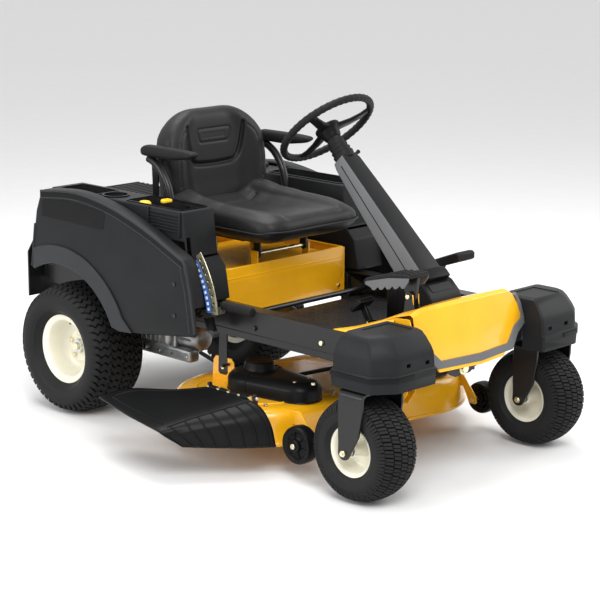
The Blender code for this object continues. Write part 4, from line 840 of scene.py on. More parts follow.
def pedals():
    """Ribbed treadle, reverse pedal and brake pedal with their arms, pivot bolts and brackets."""
    top = [(-1.194, 0.630), (-1.240, 0.644), (-1.300, 0.664), (-1.352, 0.670), (-1.388, 0.6715)]
    under = [(-1.388, 0.662), (-1.350, 0.650), (-1.300, 0.640), (-1.240, 0.624), (-1.196, 0.614)]
    pad = prism("treadle_pad", top + under, "X", -0.244, -0.156, RUBBER, 0.003, 2)
    parts = [pad]
    for k in range(9):
        t = 0.04 + 0.92 * k / 8
        place = t * (len(top) - 1)
        i = min(int(place), len(top) - 2)
        y = top[i][0] + (top[i + 1][0] - top[i][0]) * (place - i)
        z = top[i][1] + (top[i + 1][1] - top[i][1]) * (place - i)
        parts.append(box(f"treadle_rib_{k}", (-0.240, y - 0.0035, z - 0.003),
                         (-0.160, y + 0.0035, z + 0.0035), RUBBER,
                         0.0012, 1))
    scallop = [(-1.205, 0.6180)]
    for k in range(5):
        y = -1.226 - 0.030 * k
        scallop += [(y - 0.002, 0.612 + 0.006 * k), (y - 0.010, 0.604 + 0.006 * k),
                    (y - 0.020, 0.606 + 0.006 * k)]
    scallop += [(-1.382, 0.652), (-1.384, 0.664), (-1.300, 0.652), (-1.206, 0.628)]
    for k, x in enumerate((-0.2475, -0.1555)):
        parts.append(prism(f"treadle_side_{k}", scallop, "X", x, x + 0.003, GREY, 0.0006, 1))
    web = [(-1.340, 0.594), (-1.376, 0.592), (-1.384, 0.660), (-1.310, 0.648)]
    parts.append(prism("treadle_web", web, "X", -0.2072, -0.1928, STEEL, 0.002, 2))
    parts.append(hexagon("treadle_bolt", (0, -1.358, 0.599), "X", 0.014, -0.2240, -0.2165, ZINC))
    put(merge("forward_pedal_look", *parts), "forward_treadle", "grip_rubber", "forward_pedal")

    slab = [(-1.088, 0.512), (-1.130, 0.547), (-1.140, 0.538), (-1.098, 0.500)]
    parts = [prism("reverse_pad", slab, "X", -0.194, -0.126, RUBBER, 0.003, 2)]
    for k in range(6):
        y = -1.094 - 0.0072 * k
        z = 0.5165 + 0.0060 * k
        parts.append(prism(f"reverse_rib_{k}", [(y, z), (y - 0.004, z + 0.0033), (y - 0.0058, z + 0.0008),
                                                (y - 0.0018, z - 0.0025)], "X", -0.190, -0.130, RUBBER,
                           0.0005, 1))
    arm = [(-1.142, 0.460), (-1.158, 0.476), (-1.124, 0.534), (-1.108, 0.516)]
    parts.append(prism("reverse_arm", arm, "X", -0.1662, -0.1538, STEEL, 0.002, 2))
    parts.append(hexagon("reverse_bolt", (0, -1.150, 0.470), "X", 0.013, -0.1800, -0.1752, ZINC))
    put(merge("reverse_pedal_look", *parts), "reverse_treadle", "grip_rubber", "reverse_pedal")

    block = [(-1.110, 0.598), (-1.112, 0.614), (-1.118, 0.619), (-1.230, 0.662), (-1.241, 0.656),
             (-1.241, 0.636),
             (-1.230, 0.630), (-1.120, 0.592)]
    parts = [prism("brake_pad", block, "X", 0.158, 0.242, RUBBER, 0.004, 3)]
    for k in range(8):
        y = -1.128 - 0.0130 * k
        z = 0.6228 + 0.00505 * k
        parts.append(prism(f"brake_rib_{k}", [(y, z - 0.003), (y, z + 0.0015), (y - 0.006, z + 0.0038),
                                              (y - 0.006, z - 0.0007)], "X", 0.164, 0.236, RUBBER, 0.0006,
                           1))
    arm = [(-1.066, 0.462), (-1.094, 0.462), (-1.122, 0.540), (-1.162, 0.626), (-1.134, 0.612),
           (-1.096, 0.540)]
    parts.append(prism("brake_arm", arm, "X", 0.1935, 0.2065, STEEL, 0.002, 2))
    parts.append(hexagon("brake_bolt", (0, -1.080, 0.470), "X", 0.013, 0.2170, 0.2230, ZINC))
    put(merge("brake_pedal_look", *parts), "brake", "grip_rubber", "brake_pedal")

    stand = [(-1.338, 0.500), (-1.378, 0.520), (-1.374, 0.606), (-1.344, 0.606)]
    plates = [prism(f"stand_{k}", stand, "X", x, x + 0.003, PAINT, 0.0008, 1) for k,
              x in enumerate((-0.2145, -0.1885))]
    put(merge("treadle_stand", *plates), "chassis", "yellow_paint")


steering_wheel()
steering_column()
pedals()


# ---- seat ----------------------------------------------------------------------------------------------

def stuffed(item, voxel, pressure=4.0, cap=0.012):
    """Remeshes a closed shape and lets inside pressure swell it as cloth, by no more than cap."""
    bake(item)
    step = item.modifiers.new("voxels", "REMESH")
    step.mode = "VOXEL"
    step.voxel_size = voxel
    step.use_smooth_shade = True
    bake(item)
    before = [v.co.copy() for v in item.data.vertices]
    cloth = item.modifiers.new("cloth", "CLOTH")
    cloth.settings.quality = 5
    cloth.settings.mass = 0.3
    cloth.settings.use_pressure = True
    cloth.settings.uniform_pressure_force = pressure
    cloth.settings.tension_stiffness = 25
    cloth.settings.compression_stiffness = 25
    cloth.settings.bending_stiffness = 2.0
    cloth.settings.effector_weights.gravity = 0.0
    cloth.collision_settings.use_collision = False
    cloth.point_cache.frame_start, cloth.point_cache.frame_end = 1, 20
    scene = bpy.context.scene
    for frame_number in range(1, 21):
        scene.frame_set(frame_number)
    bake(item)
    for v, start in zip(item.data.vertices, before):
        move = v.co - start
        if move.length > cap:
            v.co = start + move.normalized() * cap
    smooth = item.modifiers.new("soft", "CORRECTIVE_SMOOTH")
    smooth.use_only_smooth = True
    smooth.iterations = 12
    bake(item)
    fine = item.modifiers.new("fine", "SUBSURF")
    fine.levels = fine.render_levels = 1
    bake(item)
    scene.frame_set(1)
    item.data.shade_smooth()
    return item


def groove(item, path, width, depth):
    """Sinks a soft channel along a path that lies near the surface."""
    dense = []
    for a, b in zip(path, path[1:]):
        a, b = Vector(a), Vector(b)
        count = max(2, int((b - a).length / 0.002))
        dense += [a + (b - a) * k / count for k in range(count)]
    tree = KDTree(len(dense))
    for k, p in enumerate(dense):
        tree.insert(p, k)
    tree.balance()
    normals = [v.normal.copy() for v in item.data.vertices]
    for v, normal in zip(item.data.vertices, normals):
        gap = tree.find(v.co)[2]
        if gap < 3 * width:
            v.co -= normal * depth * math.exp(-((gap / width) ** 2))
    return item


def dropped(item, points, direction):
    """The points moved along a direction onto the surface."""
    tree = BVHTree.FromObject(item, bpy.context.evaluated_depsgraph_get())
    direction = Vector(direction).normalized()
    made = []
    for p in points:
        hit = tree.ray_cast(Vector(p) - direction * 0.3, direction)[0]
        made.append(hit if hit is not None else Vector(p))
    return made


def ease(a, b, x):
    """Smooth step from 0 at a to 1 at b."""
    t = min(1.0, max(0.0, (x - a) / (b - a)))
    return t * t * (3 - 2 * t)


def seat():
    """Bucket seat: scooped cushion with raised sides and a high back with a sunk centre panel."""
    across = [k / 10 for k in range(-10, 11)]

    def section(y, wide, centre, edge, low):
        top = [(wide * f,
                centre + (edge - centre) * ease(0.38, 0.80, abs(f)) - 0.016 * ease(0.84, 1.0, abs(f)))
               for f in across]
        bottom = [(wide * f, low + 0.018 * ease(0.80, 1.0, abs(f))) for f in reversed(across)]
        return [(x, y, z) for x, z in top + [(wide * 1.02, (edge + low) / 2)] + bottom + [(-wide * 1.02,
                                                                                     (edge + low) / 2)]]

    table = ((-0.769, 0.150, 0.722, 0.722, 0.704), (-0.760, 0.190, 0.740, 0.742, 0.690),
             (-0.742, 0.212, 0.747, 0.752, 0.676), (-0.710, 0.224, 0.745, 0.758, 0.667),
             (-0.660, 0.229, 0.739, 0.762, 0.664), (-0.600, 0.230, 0.732, 0.764, 0.663),
             (-0.500, 0.230, 0.722, 0.768, 0.663), (-0.400, 0.229, 0.720, 0.776, 0.664),
             (-0.330, 0.226, 0.728, 0.790, 0.668), (-0.290, 0.222, 0.742, 0.802, 0.676),
             (-0.262, 0.214, 0.755, 0.806, 0.695))
    cushion = rings("cushion_look", [section(*row) for row in table], VINYL)
    stuffed(cushion, 0.006, cap=0.006)
    for s in (-1, 1):
        line = [(s * 0.120, y, 0.75) for y in (-0.735, -0.68, -0.60, -0.50, -0.40, -0.31)]
        line = [(s * (0.120 + 0.018 * math.sin((p[1] + 0.735) * 7)), p[1], p[2]) for p in line]
        groove(cushion, dropped(cushion, smooth_line(line, 8), (0, 0, -1)), 0.014, 0.004)
    line = [(x, -0.345 + 0.5 * x * x, 0.76) for x in [k / 100 for k in range(-12, 13)]]
    groove(cushion, dropped(cushion, line, (0, 0, -1)), 0.008, 0.006)
    welt = []
    for y, wide in ((-0.30, 0.2235), (-0.40, 0.2305), (-0.50, 0.2320), (-0.60, 0.2320), (-0.66, 0.2305),
                    (-0.71, 0.2250), (-0.745, 0.2100), (-0.765, 0.1750), (-0.7715, 0.1200), (-0.7725, 0.0)):
        welt.append((-wide, y, 0.7005 if y > -0.745 else 0.7080))
    welt += [(-x, y, z) for x, y, z in welt[-2::-1]]
    cord = tube("cushion_welt", smooth_line(welt, 5), 0.0032, VINYL, 8)
    put(merge("seat_cushion_look", cushion, cord), "seat", "seat_vinyl", "seat_cushion")

    def slab(z, wide, centre, edge, rear):
        front = [(wide * f,
                  centre + (edge - centre) * ease(0.45, 0.86, abs(f)) + 0.012 * ease(0.86, 1.0, abs(f)))
                 for f in across]
        back = [(wide * f, rear - 0.012 * ease(0.75, 1.0, abs(f))) for f in reversed(across)]
        return [(x, y, z) for x, y in front + [(wide * 1.015, (edge + rear) / 2)] + back + [(-wide * 1.015,
                                                                                       (edge + rear) / 2)]]

    table = ((0.684, 0.188, -0.262, -0.286, -0.216), (0.700, 0.200, -0.270, -0.300, -0.206),
             (0.740, 0.214, -0.270, -0.306, -0.200), (0.800, 0.222, -0.262, -0.306, -0.194),
             (0.870, 0.226, -0.256, -0.300, -0.188), (0.930, 0.224, -0.252, -0.292, -0.184),
             (0.965, 0.218, -0.249, -0.284, -0.183), (0.995, 0.200, -0.246, -0.274, -0.183),
             (1.020, 0.176, -0.243, -0.264, -0.184), (1.040, 0.148, -0.239, -0.254, -0.187),
             (1.052, 0.122, -0.233, -0.243, -0.192), (1.060, 0.092, -0.222, -0.226, -0.203))
    back = rings("back_look", [slab(*row) for row in table], VINYL)
    stuffed(back, 0.006, cap=0.005)
    panel = [(0.0, 0.862), (0.080, 0.866), (0.104, 0.880), (0.118, 0.915), (0.128, 0.965), (0.132, 0.995)]
    half = smooth_line([(x, -0.4, z) for x, z in panel], 8)
    line = dropped(back, [(-x, y, z) for x, y, z in half[::-1]] + half[1:], (0, 1, 0))
    groove(back, line, 0.0070, 0.013)
    tab = [(0.0, 0.985), (0.070, 0.985), (0.078, 0.976), (0.070, 0.944), (0.062, 0.938), (-0.062, 0.938),
           (-0.070, 0.944), (-0.078, 0.976), (-0.070, 0.985), (0.0, 0.985)]
    groove(back, dropped(back, [(x, -0.4, z) for x, z in tab], (0, 1, 0)), 0.0035, 0.0030)
    for z in (0.955, 0.962, 0.969):
        groove(back, dropped(back, [(x / 100, -0.4, z) for x in range(-5, 6)], (0, 1, 0)), 0.0022, 0.0014)
    for s in (-1, 1):
        wing = [(s * 0.150, -0.4, 0.985), (s * 0.178, -0.4, 0.955), (s * 0.192, -0.4, 0.90),
                (s * 0.196, -0.4, 0.80)]
        groove(back, dropped(back, smooth_line(wing, 8), (0, 1, 0)), 0.005, 0.003)
    put(back, "seat", "seat_vinyl", "seat_back")

    for side, s in SIDES.items():
        profile = [(-0.196, 0.912), (-0.340, 0.910), (-0.440, 0.924), (-0.466, 0.938), (-0.456, 0.949),
                   (-0.400, 0.9505), (-0.215, 0.9505), (-0.193, 0.940)]
        low, high = between(s, 0.252, 0.296)
        pad = prism(f"{side}_arm_look", profile, "X", low, high, RUBBER, 0.010, 4)
        stuffed(pad, 0.005, pressure=2.5, cap=0.003)
        put(pad, f"{side}_arm", "grip_rubber", f"{side}_armrest")


seat()


def seat_frame():
    """Pan under the cushion, slide rails, armrest posts, back brackets and springs."""
    pan = [box("pan", (-0.150, -0.560, 0.6457), (0.150, -0.320, 0.6533), STEEL, 0.002),
           box("outrigger", (-0.290, -0.362, 0.6457), (0.290, -0.312, 0.6533), STEEL, 0.002)]
    for k, s in enumerate((-1, 1)):
        for name, x0, x1 in (("slide", 0.095, 0.125),):
            low, high = sorted((s * x0, s * x1))
            pan.append(box(f"{name}_{k}", (low, -0.640, 0.6460), (high, -0.280, 0.6600), STEEL, 0.002))
        x = s * 0.2735
        post = [(x, -0.337, 0.650), (x, -0.337, 0.70), (x, -0.335, 0.76), (x, -0.318, 0.820),
                (x, -0.285, 0.868),
                (x, -0.250, 0.893), (x, -0.222, 0.9035)]
        pan.append(tube(f"arm_post_{k}", smooth_line(post, 5), 0.0135, STEEL, 20))
        low, high = between(s, 0.292, 0.296)
        strap = [(-0.205, 0.735), (-0.228, 0.735), (-0.236, 0.90), (-0.232, 0.935), (-0.208, 0.940),
                 (-0.196, 0.92)]
        low, high = between(s, 0.236, 0.241)
        pan.append(prism(f"back_strap_{k}", strap, "X", low, high, STEEL, 0.001, 1))
        low, high = between(s, 0.2865, 0.2930)
        pan.append(hexagon(f"post_bolt_{k}", (0, -0.337, 0.690), "X", 0.013, low, high, ZINC))
        foot = [(x - 0.022, -0.360, 0.6533), (x + 0.016, -0.314, 0.658)]
        pan.append(box(f"post_foot_{k}", foot[0], foot[1], STEEL, 0.001, 1))
    put(merge("seat_frame_look", *pan), "seat", "black_steel", "seat_frame")

    base = [box("base_plate", (-0.120, -0.603, 0.6402), (0.120, -0.330, 0.6449), STEEL, 0.0015)]
    for k, s in enumerate((-1, 1)):
        low, high = between(s, 0.107, 0.115)
        ear = [(-0.600, 0.642), (-0.600, 0.603)] + arc((-0.585, 0.603), 0.015, 180, 360,
                                                       8) + [(-0.570, 0.642)]
        base.append(prism(f"ear_{k}", ear, "X", low, high, STEEL, 0.001, 1))
    base.append(disc("hinge_bar", 0.007, -0.1195, 0.1195, "X", (0.0, -0.585, 0.603), ZINC, 20))
    put(merge("seat_base_look", *base), "seat_tilt_base", "black_steel", "seat_base")

    for k, (x, y) in enumerate(((-0.205, -0.400), (-0.100, -0.350), (0.100, -0.350), (0.205, -0.400))):
        low, high = (0.5795, 0.6370) if abs(x) < 0.15 else (0.5795, 0.6400)
        turns, count = 5.5, 120
        coil = [(x + 0.0175 * math.cos(2 * math.pi * turns * i / count),
                 y + 0.0175 * math.sin(2 * math.pi * turns * i
                 / count), low + (high - low) * i / count) for i in range(count + 1)]
        put(tube(f"seat_spring_{k}", coil, 0.0024, ZINC, 8), "chassis", "zinc")


seat_frame()


# ---- fenders -------------------------------------------------------------------------------------------

PANEL_TOP = smooth_line([(0.088, 0.784, 0), (-0.095, 0.799, 0), (-0.270, 0.777, 0), (-0.430, 0.731, 0),
                         (-0.550, 0.684, 0), (-0.640, 0.645, 0)], 6)
PANEL_TOP = [(p[0], p[1]) for p in PANEL_TOP]
ARCH = (-0.010, REAR_R)


def bevelled_lip(item):
    """The raised lip round the wheel arch, softened at its edges, in the lighter plastic as a painted
    highlight.
    """
    item.data.materials[0] = HIGHLIGHT_PLASTIC
    return bevel(item, 0.0040, 3)


def fender(side):
    """Moulded fender and console: outer panel, wheel arch with its lip, pockets in the top."""
    s = SIDES[side]
    panel = [(0.150, 0.500), (0.143, 0.560), (0.135, 0.620), (0.118, 0.710)] + PANEL_TOP
    panel += [(-0.658, 0.620), (-0.680, 0.545), (-0.695, 0.470), (-0.7035, 0.400), (-0.690, 0.396),
              (-0.436, 0.3615),
              (-0.326, 0.3525)]
    console = [(0.150, 0.500), (0.135, 0.620), (0.096, 0.786), (-0.582, 0.786), (-0.600, 0.640),
               (-0.640, 0.600),
               (-0.660, 0.4925), (-0.300, 0.4925)]

    def span(name, outline, near, far, edge=0.0, segments=3):
        low, high = sorted((s * near, s * far))
        return prism(f"{side}_{name}", outline, "X", low, high, PLASTIC, edge, segments)

    body = span("panel", panel, 0.445, 0.500, 0.010)
    bake(body)
    fuse(body, span("console", console, 0.306, 0.4458, 0.006))
    room = [(0.143, 0.505), (0.130, 0.618), (0.108, 0.690), (-0.590, 0.690), (-0.596, 0.645),
            (-0.636, 0.602),
            (-0.654, 0.4975), (-0.300, 0.4975)]
    shrunk = [(y + (0.006 if y < -0.5 else -0.006 if y > 0.08 else 0.0), z - 0.006) for y, z in panel[:-5]]
    shrunk += [(-0.697, 0.404), (-0.436, 0.367), (-0.326, 0.358)]
    below = between(s, 0.250, 0.494)
    cutters = [span("panel_room", shrunk, 0.435, 0.495), span("console_room", room, 0.311, 0.455),
               box("open_floor", (below[0], -0.72, 0.30), (below[1], 0.20, 0.4923), PLASTIC),
               span("arch", arc(ARCH, 0.306, 42, 148, 32) + [(-0.330, 0.20), (0.30, 0.20)], 0.2, 0.6)]

    def pocket(name, x0, x1, y0, y1, z):
        low, high = sorted((s * x0, s * x1))
        return prism(name, rounded((low, y0), (high, y1), 0.014, 5), "Z", z, 0.9, PLASTIC)

    if side == "right":
        cutters += [pocket("tray", 0.338, 0.441, -0.136, 0.052, 0.740),
                    pocket("recess", 0.318, 0.432, -0.560, -0.290,
                    0.752), disc("cup", 0.0405, 0.712, 0.9, "Z", (-0.395, -0.190, 0), PLASTIC, 40),
                    box("lever_slot", (-0.4390, -0.720, 0.480), (-0.4210, -0.570, 0.702), PLASTIC),
                    box("lever_slot_low", (-0.4390, -0.600, 0.480), (-0.4210, -0.310, 0.600), PLASTIC)]
    else:
        cutters.append(pocket("tray", 0.325, 0.432, -0.560, -0.200, 0.730))
    cut(body, *cutters)
    parts = [body]

    lip = arc(ARCH, 0.3065, 62.5, 148, 40) + [(-0.286, 0.362), (-0.326, 0.3535), (-0.390, 0.3585)]
    lip += arc(ARCH, 0.372, 152, 68, 40)
    parts.append(bevelled_lip(span("lip", lip, 0.499, 0.5075)))
    # A flat dark strip between the two ridges: painted shadow of the ridge line.
    low, high = between(s, 0.4985, 0.5022)
    shadow_strip = [(y, z - 0.008) for y, z in PANEL_TOP] + [(y, z - 0.026) for y, z in PANEL_TOP[::-1]]
    parts.append(prism("ridge_painted_shadow", shadow_strip, "X", low, high, DARK))
    # The two ridge tubes take the lighter plastic as painted highlight lines.
    for k, (drop, radius, reach) in enumerate(((0.0050, 0.0045, 0.4985), (0.0275, 0.0028, 0.5000))):
        path = [(s * reach, y, z - drop) for y, z in PANEL_TOP]
        path += [(s * reach, -0.655 + drop, 0.620), (s * reach, -0.677 + drop, 0.545),
                 (s * reach, -0.700 + drop, 0.410)]
        parts.append(tube(f"ridge_{k}", smooth_line(path, 2), radius, HIGHLIGHT_PLASTIC, 10))
    low, high = between(s, 0.4990, 0.5010)
    plate = [(0.082, 0.744), (0.084, 0.694), (-0.236, 0.688), (-0.248, 0.694), (-0.256, 0.742),
             (-0.248, 0.750),
             (-0.060, 0.764), (0.070, 0.752)]
    parts.append(prism("blank_plate", plate, "X", low, high, DARK, 0.0008, 1))
    # The rear bead takes the lighter plastic as a painted highlight.
    bead = [(s * 0.4990, y, z) for y, z in ((0.124, 0.660), (0.133, 0.600), (0.142, 0.530), (0.146, 0.508))]
    parts.append(tube("rear_bead", smooth_line(bead, 3), 0.004, HIGHLIGHT_PLASTIC, 10))
    for k in range(6):
        z = 0.716 + 0.0108 * k
        low, high = between(s, 0.4440, 0.4520)
        parts.append(box(f"grip_rib_{k}", (low, -0.566, z), (high, -0.424, z + 0.0055), PLASTIC, 0.0012, 1))
    for k, y in enumerate((-0.572, -0.418)):
        low, high = between(s, 0.4440, 0.4545)
        parts.append(box(f"grip_end_{k}", (low, y - 0.004, 0.702), (high, y + 0.004, 0.786), PLASTIC,
                         0.0015, 1))
    for k, (y, z) in enumerate(((-0.600, 0.560), (-0.600, 0.455), (0.120, 0.560))):
        low, high = between(s, 0.4995, 0.5035)
        parts.append(disc(f"fender_stud_{k}", 0.0075, low, high, "X", (0, y, z), STEEL, 20))
    if side == "right":
        for k, (x0, x1, y0,
                y1) in enumerate(((0.332, 0.447, -0.142, 0.058), (0.313, 0.438, -0.566, -0.284))):
            outer, inner = rounded((-x1, y0), (-x0, y1), 0.016, 6), rounded((-x1 + 0.006, y0 + 0.006),
                                                                            (-x0 - 0.006,
                                                                             y1 - 0.006), 0.012, 6)
            loops = [[(x, y, 0.7855) for x, y in outer], [(x, y, 0.7895) for x, y in outer],
                     [(x, y, 0.7895) for x, y in inner], [(x, y, 0.7855) for x, y in inner]]
            parts.append(rings(f"pocket_rim_{k}", loops, DARK, closed=True))
        cup = [(0.0405, 0.7855), (0.0405, 0.7905), (0.0475, 0.7905), (0.0475, 0.7855)]
        parts.append(turned("cup_rim", cup, "Z", (-0.395, -0.190, 0), DARK, 40))
        plate = prism("control_plate", rounded((-0.430, -0.558), (-0.320, -0.292), 0.012, 5), "Z", 0.7502,
                      0.7523, DARK)
        slot = box("throttle_slot", (-0.3780, -0.455, 0.7515), (-0.3720, -0.395, 0.7526), STEEL)
        parts += [plate, slot]
        for k in range(5):
            y = -0.452 + 0.0135 * k
            parts.append(box(f"throttle_mark_{k}", (-0.365, y - 0.0008, 0.7522),
                             (-0.356, y + 0.0008, 0.7527), WHITE))
    else:
        boss = [(0.0265, 0.780), (0.0265, 0.799), (0.030, 0.800), (0.047, 0.800), (0.052, 0.795),
                (0.052, 0.780)]
        parts.append(turned("filler_boss", boss, "Z", (0.385, -0.060, 0), PLASTIC, 40))
        outer, inner = rounded((0.319, -0.566), (0.438, -0.194), 0.016, 6), rounded((0.325, -0.560),
                                                                                    (0.432, -0.200),
                                                                                    0.012, 6)
        loops = [[(x, y, 0.7855) for x, y in outer], [(x, y, 0.7895) for x, y in outer],
                 [(x, y, 0.7895) for x, y in inner], [(x, y, 0.7855) for x, y in inner]]
        parts.append(rings("tray_rim", loops, DARK, closed=True))
    put(merge(f"{side}_fender_look", *parts), "chassis", "black_plastic", f"{side}_fender")


def fuel_cap():
    """Knurled screw cap."""
    loops = []
    for z, r, wave in ((0.8006, 0.033, 0), (0.8030, 0.0355, 1), (0.8220, 0.0355, 1), (0.8260, 0.0335, 1),
                       (0.8295, 0.029, 0), (0.8302, 0.024, 0)):
        loops.append([(0.385 + (r + 0.0009 * wave * math.cos(30 * t)) * math.cos(t), -0.060
                       + (r + 0.0009 * wave * math.cos(30 * t)) * math.sin(t), z)
                      for t in [2 * math.pi * k / 240 for k in range(240)]])
    cap = rings("cap_body", loops, RUBBER)
    bar = prism("cap_bar", rounded((0.360, -0.065), (0.410, -0.055), 0.004, 4), "Z", 0.8290, 0.8302, DARK)
    put(merge("fuel_cap_look", cap, bar), "filler_cap", "grip_rubber", "fuel_cap")


for side in SIDES:
    fender(side)
fuel_cap()


def controls():
    """Mushroom knob, throttle lever with its ridged head, and key."""
    floor = 0.7526
    knob = [(0.0, 0.0), (0.0065, 0.0), (0.0065, 0.012), (0.0150, 0.0150), (0.0200, 0.0185),
            (0.0215, 0.0240),
            (0.0205, 0.0300), (0.0165, 0.0345), (0.0090, 0.0362), (0.0, 0.0366)]
    item = turned("knob_head", knob, "Z", (-0.400, -0.345, floor), KNOB, 40, 60.0)
    stem = turned("knob_ring", [(0.0066, 0.0), (0.0120, 0.0), (0.0110, 0.003), (0.0066, 0.004)], "Z",
                  (-0.400, -0.345, floor), DARK, 28)
    put(item, "pto", "yellow_plastic", "pto_knob")
    put(stem, "chassis", "black_plastic")
    pivot = floor + 0.006
    parts = [disc("throttle_axle", 0.0055, -0.385, -0.365, "X", (0, -0.425, pivot), DARK, 20),
             box("throttle_stalk", (-0.3775, -0.4285, pivot - 0.002), (-0.3725, -0.4215, pivot + 0.034),
                 STEEL, 0.0008, 1),
             box("throttle_head", (-0.394, -0.4350, pivot + 0.030), (-0.356, -0.4150, pivot + 0.0415), KNOB,
                 0.004, 3)]
    parts += [box(f"throttle_rib_{k}", (-0.390, -0.4325 + 0.005 * k, pivot + 0.0405),
                  (-0.360, -0.4305 + 0.005 * k,
              pivot + 0.0425), KNOB, 0.0005, 1) for k in range(4)]
    put(merge("throttle_look", *parts), "throttle", "yellow_plastic", "throttle_lever")
    barrel = turned("key_barrel", [(0, 0.0), (0.0112, 0.0), (0.0112, 0.009), (0.0095, 0.012), (0, 0.012)],
                    "Z",
                    (-0.345, -0.500, floor), BRIGHT, 28)
    bow = prism("key_bow", rounded((-0.5125, floor + 0.014), (-0.4875, floor + 0.034), 0.006, 5), "X",
                -0.3468, -0.3432,
                DARK, 0.0008, 1)
    blade = box("key_blade", (-0.3460, -0.504, floor + 0.010), (-0.3440, -0.496, floor + 0.016), BRIGHT)
    put(merge("key_look", barrel, bow, blade), "key", "cast_metal", "ignition_key")


controls()


# ---- deck ----------------------------------------------------------------------------------------------

SPINDLES = {"right": (-0.265, -0.750), "left": (0.265, -0.830)}
SCALP = {"right": (-0.420, -1.097, 0.112, 0.062), "left": (0.420, -1.148, 0.110, 0.055)}


def deck():
    """Stamped shell with a rolled lower edge, pressed step, hangers, wheel brackets and chute ears."""
    def level(grow, z):
        return [(x, y, z) for x,
                y in band([(*SPINDLES["right"], 0.285), (*SPINDLES["left"], 0.285)], grow, 40)]

    outer = ((0.0, 0.080), (0.0, 0.088), (-0.003, 0.092), (-0.003, 0.150), (-0.004, 0.166), (-0.009, 0.180),
             (-0.018, 0.191), (-0.030, 0.197), (-0.044, 0.1995), (-0.060, 0.200))
    inner = ((-0.005, 0.060), (-0.005, 0.088), (-0.007, 0.092), (-0.007, 0.150), (-0.008, 0.165),
             (-0.013, 0.178),
             (-0.022, 0.188), (-0.034, 0.193), (-0.060, 0.196))
    shell = rings("deck_body", [level(*row) for row in outer], PAINT, angle=50.0)
    cutters = [rings("deck_room", [level(*row) for row in inner], PAINT),
               box("discharge", (-0.620, -0.930, 0.095), (-0.485, -0.610, 0.175), PAINT)]
    cutters += [disc(f"spindle_hole_{k}", 0.024, 0.15, 0.30, "Z", (x, y, 0), PAINT, 32) for k,
                (x, y) in enumerate(SPINDLES.values())]
    cut(shell, *cutters)
    parts = [shell]
    for k, (side, s) in enumerate(SIDES.items()):
        low, high = between(s, 0.2920, 0.2970)
        outline = [(-0.668, 0.199), (-0.560, 0.199), (-0.566, 0.268), (-0.578, 0.282), (-0.652, 0.282),
                   (-0.664, 0.268)]
        parts.append(prism(f"hanger_{k}", outline, "X", low, high, PAINT, 0.001, 1))
        link = [(-0.636, 0.230), (-0.628, 0.222), (-0.598, 0.222), (-0.590, 0.230), (-0.5985, 0.462)]
        link += arc((-0.6135, 0.468), 0.0145, 0, 180, 8)
        parts.append(prism(f"hanger_link_{k}", link, "X", low - 0.0012, high + 0.0012, STEEL, 0.001, 1))
        ends = between(s, 0.2895, 0.3010)
        parts.append(hexagon(f"hanger_bolt_{k}", (0, -0.613, 0.248), "X", 0.015, *ends, ZINC))
        tip = between(s, 0.2700, 0.3300)
        parts.append(disc(f"hanger_peg_{k}", 0.0055, tip[0], tip[1], "X", (0, -0.642, 0.262), STEEL, 16))
        low, high = between(s, 0.2500, 0.2925)
        parts.append(box(f"hanger_foot_{k}", (low, -0.645, 0.1995), (high, -0.572, 0.2045), PAINT, 0.001,
                         1))
        for i, y in enumerate((-0.628, -0.590)):
            parts.append(hexagon(f"foot_bolt_{k}_{i}", (s * 0.270, y, 0), "Z", 0.013, 0.2040, 0.2110, ZINC))
        t = math.radians(17.5)
        pin = (-0.690 + 0.080 * math.cos(t), 0.436 + 0.080 * math.sin(t))
        low, high = between(s, 0.2950, 0.3090)
        parts.append(disc(f"hanger_pin_{k}", 0.006, low, high, "X", (0, *pin), ZINC, 20))
        x, y, z, r = SCALP[side]
        near, far = between(s, 0.365, 0.371)
        arm = [(y - 0.014, z - 0.010), (y - 0.008, z - 0.014), (y + 0.018, z - 0.014), (y + 0.045, 0.150),
               (y + 0.17, 0.150), (y + 0.17, 0.196), (y + 0.05, 0.196), (y - 0.010, z + 0.014),
               (y - 0.014, z + 0.010)]
        parts.append(prism(f"scalp_arm_{k}", arm, "X", near, far, PAINT, 0.0012, 1))
        near, far = between(s, 0.365, 0.4515)
        parts.append(disc(f"scalp_pin_{k}", 0.006, near, far, "X", (0, y, z), ZINC, 20))
        near, far = between(s, 0.4515, 0.4570)
        parts.append(hexagon(f"scalp_bolt_{k}", (0, y, z), "X", 0.017, near, far, ZINC))
        near, far = between(s, 0.3580, 0.3650)
        parts.append(hexagon(f"scalp_nut_{k}", (0, y, z), "X", 0.015, near, far, ZINC))
    for k, x in enumerate((-0.022, 0.017)):
        ear = [(-1.190, 0.215), (-1.158, 0.170), (-1.050, 0.160), (-1.050, 0.200), (-1.115, 0.225),
               (-1.150, 0.262),
               (-1.186, 0.262), (-1.190, 0.250)]
        parts.append(prism(f"front_ear_{k}", ear, "X", x, x + 0.005, PAINT, 0.001, 1))
    parts.append(disc("front_pin", 0.006, -0.020, 0.020, "X", (0, -1.175, 0.245), ZINC, 20))
    for k, y in enumerate((-0.936, -0.728)):
        ear = [(-0.468, 0.165), (-0.448, 0.165), (-0.448, 0.232), (-0.456, 0.250), (-0.468, 0.250)]
        parts.append(prism(f"chute_ear_{k}", ear, "Y", y, y + 0.008, STEEL, 0.001, 1))
    rib = [(x, y, 0.1998) for x,
           y in band([(*SPINDLES["right"], 0.205), (*SPINDLES["left"], 0.205)], 0.0, 40)]
    parts.append(tube("deck_bead", rib, 0.0035, PAINT, 10, True))
    for k, (x, y) in enumerate(((-0.410, -0.930), (-0.140, -0.975), (0.120, -1.030), (0.400, -1.020),
                                (-0.120, -0.560),
                                (0.150, -0.620))):
        parts.append(hexagon(f"deck_bolt_{k}", (x, y, 0), "Z", 0.014, 0.1995, 0.2070, ZINC))
    put(merge("deck_look", *parts), "deck", "yellow_paint", "deck_shell")


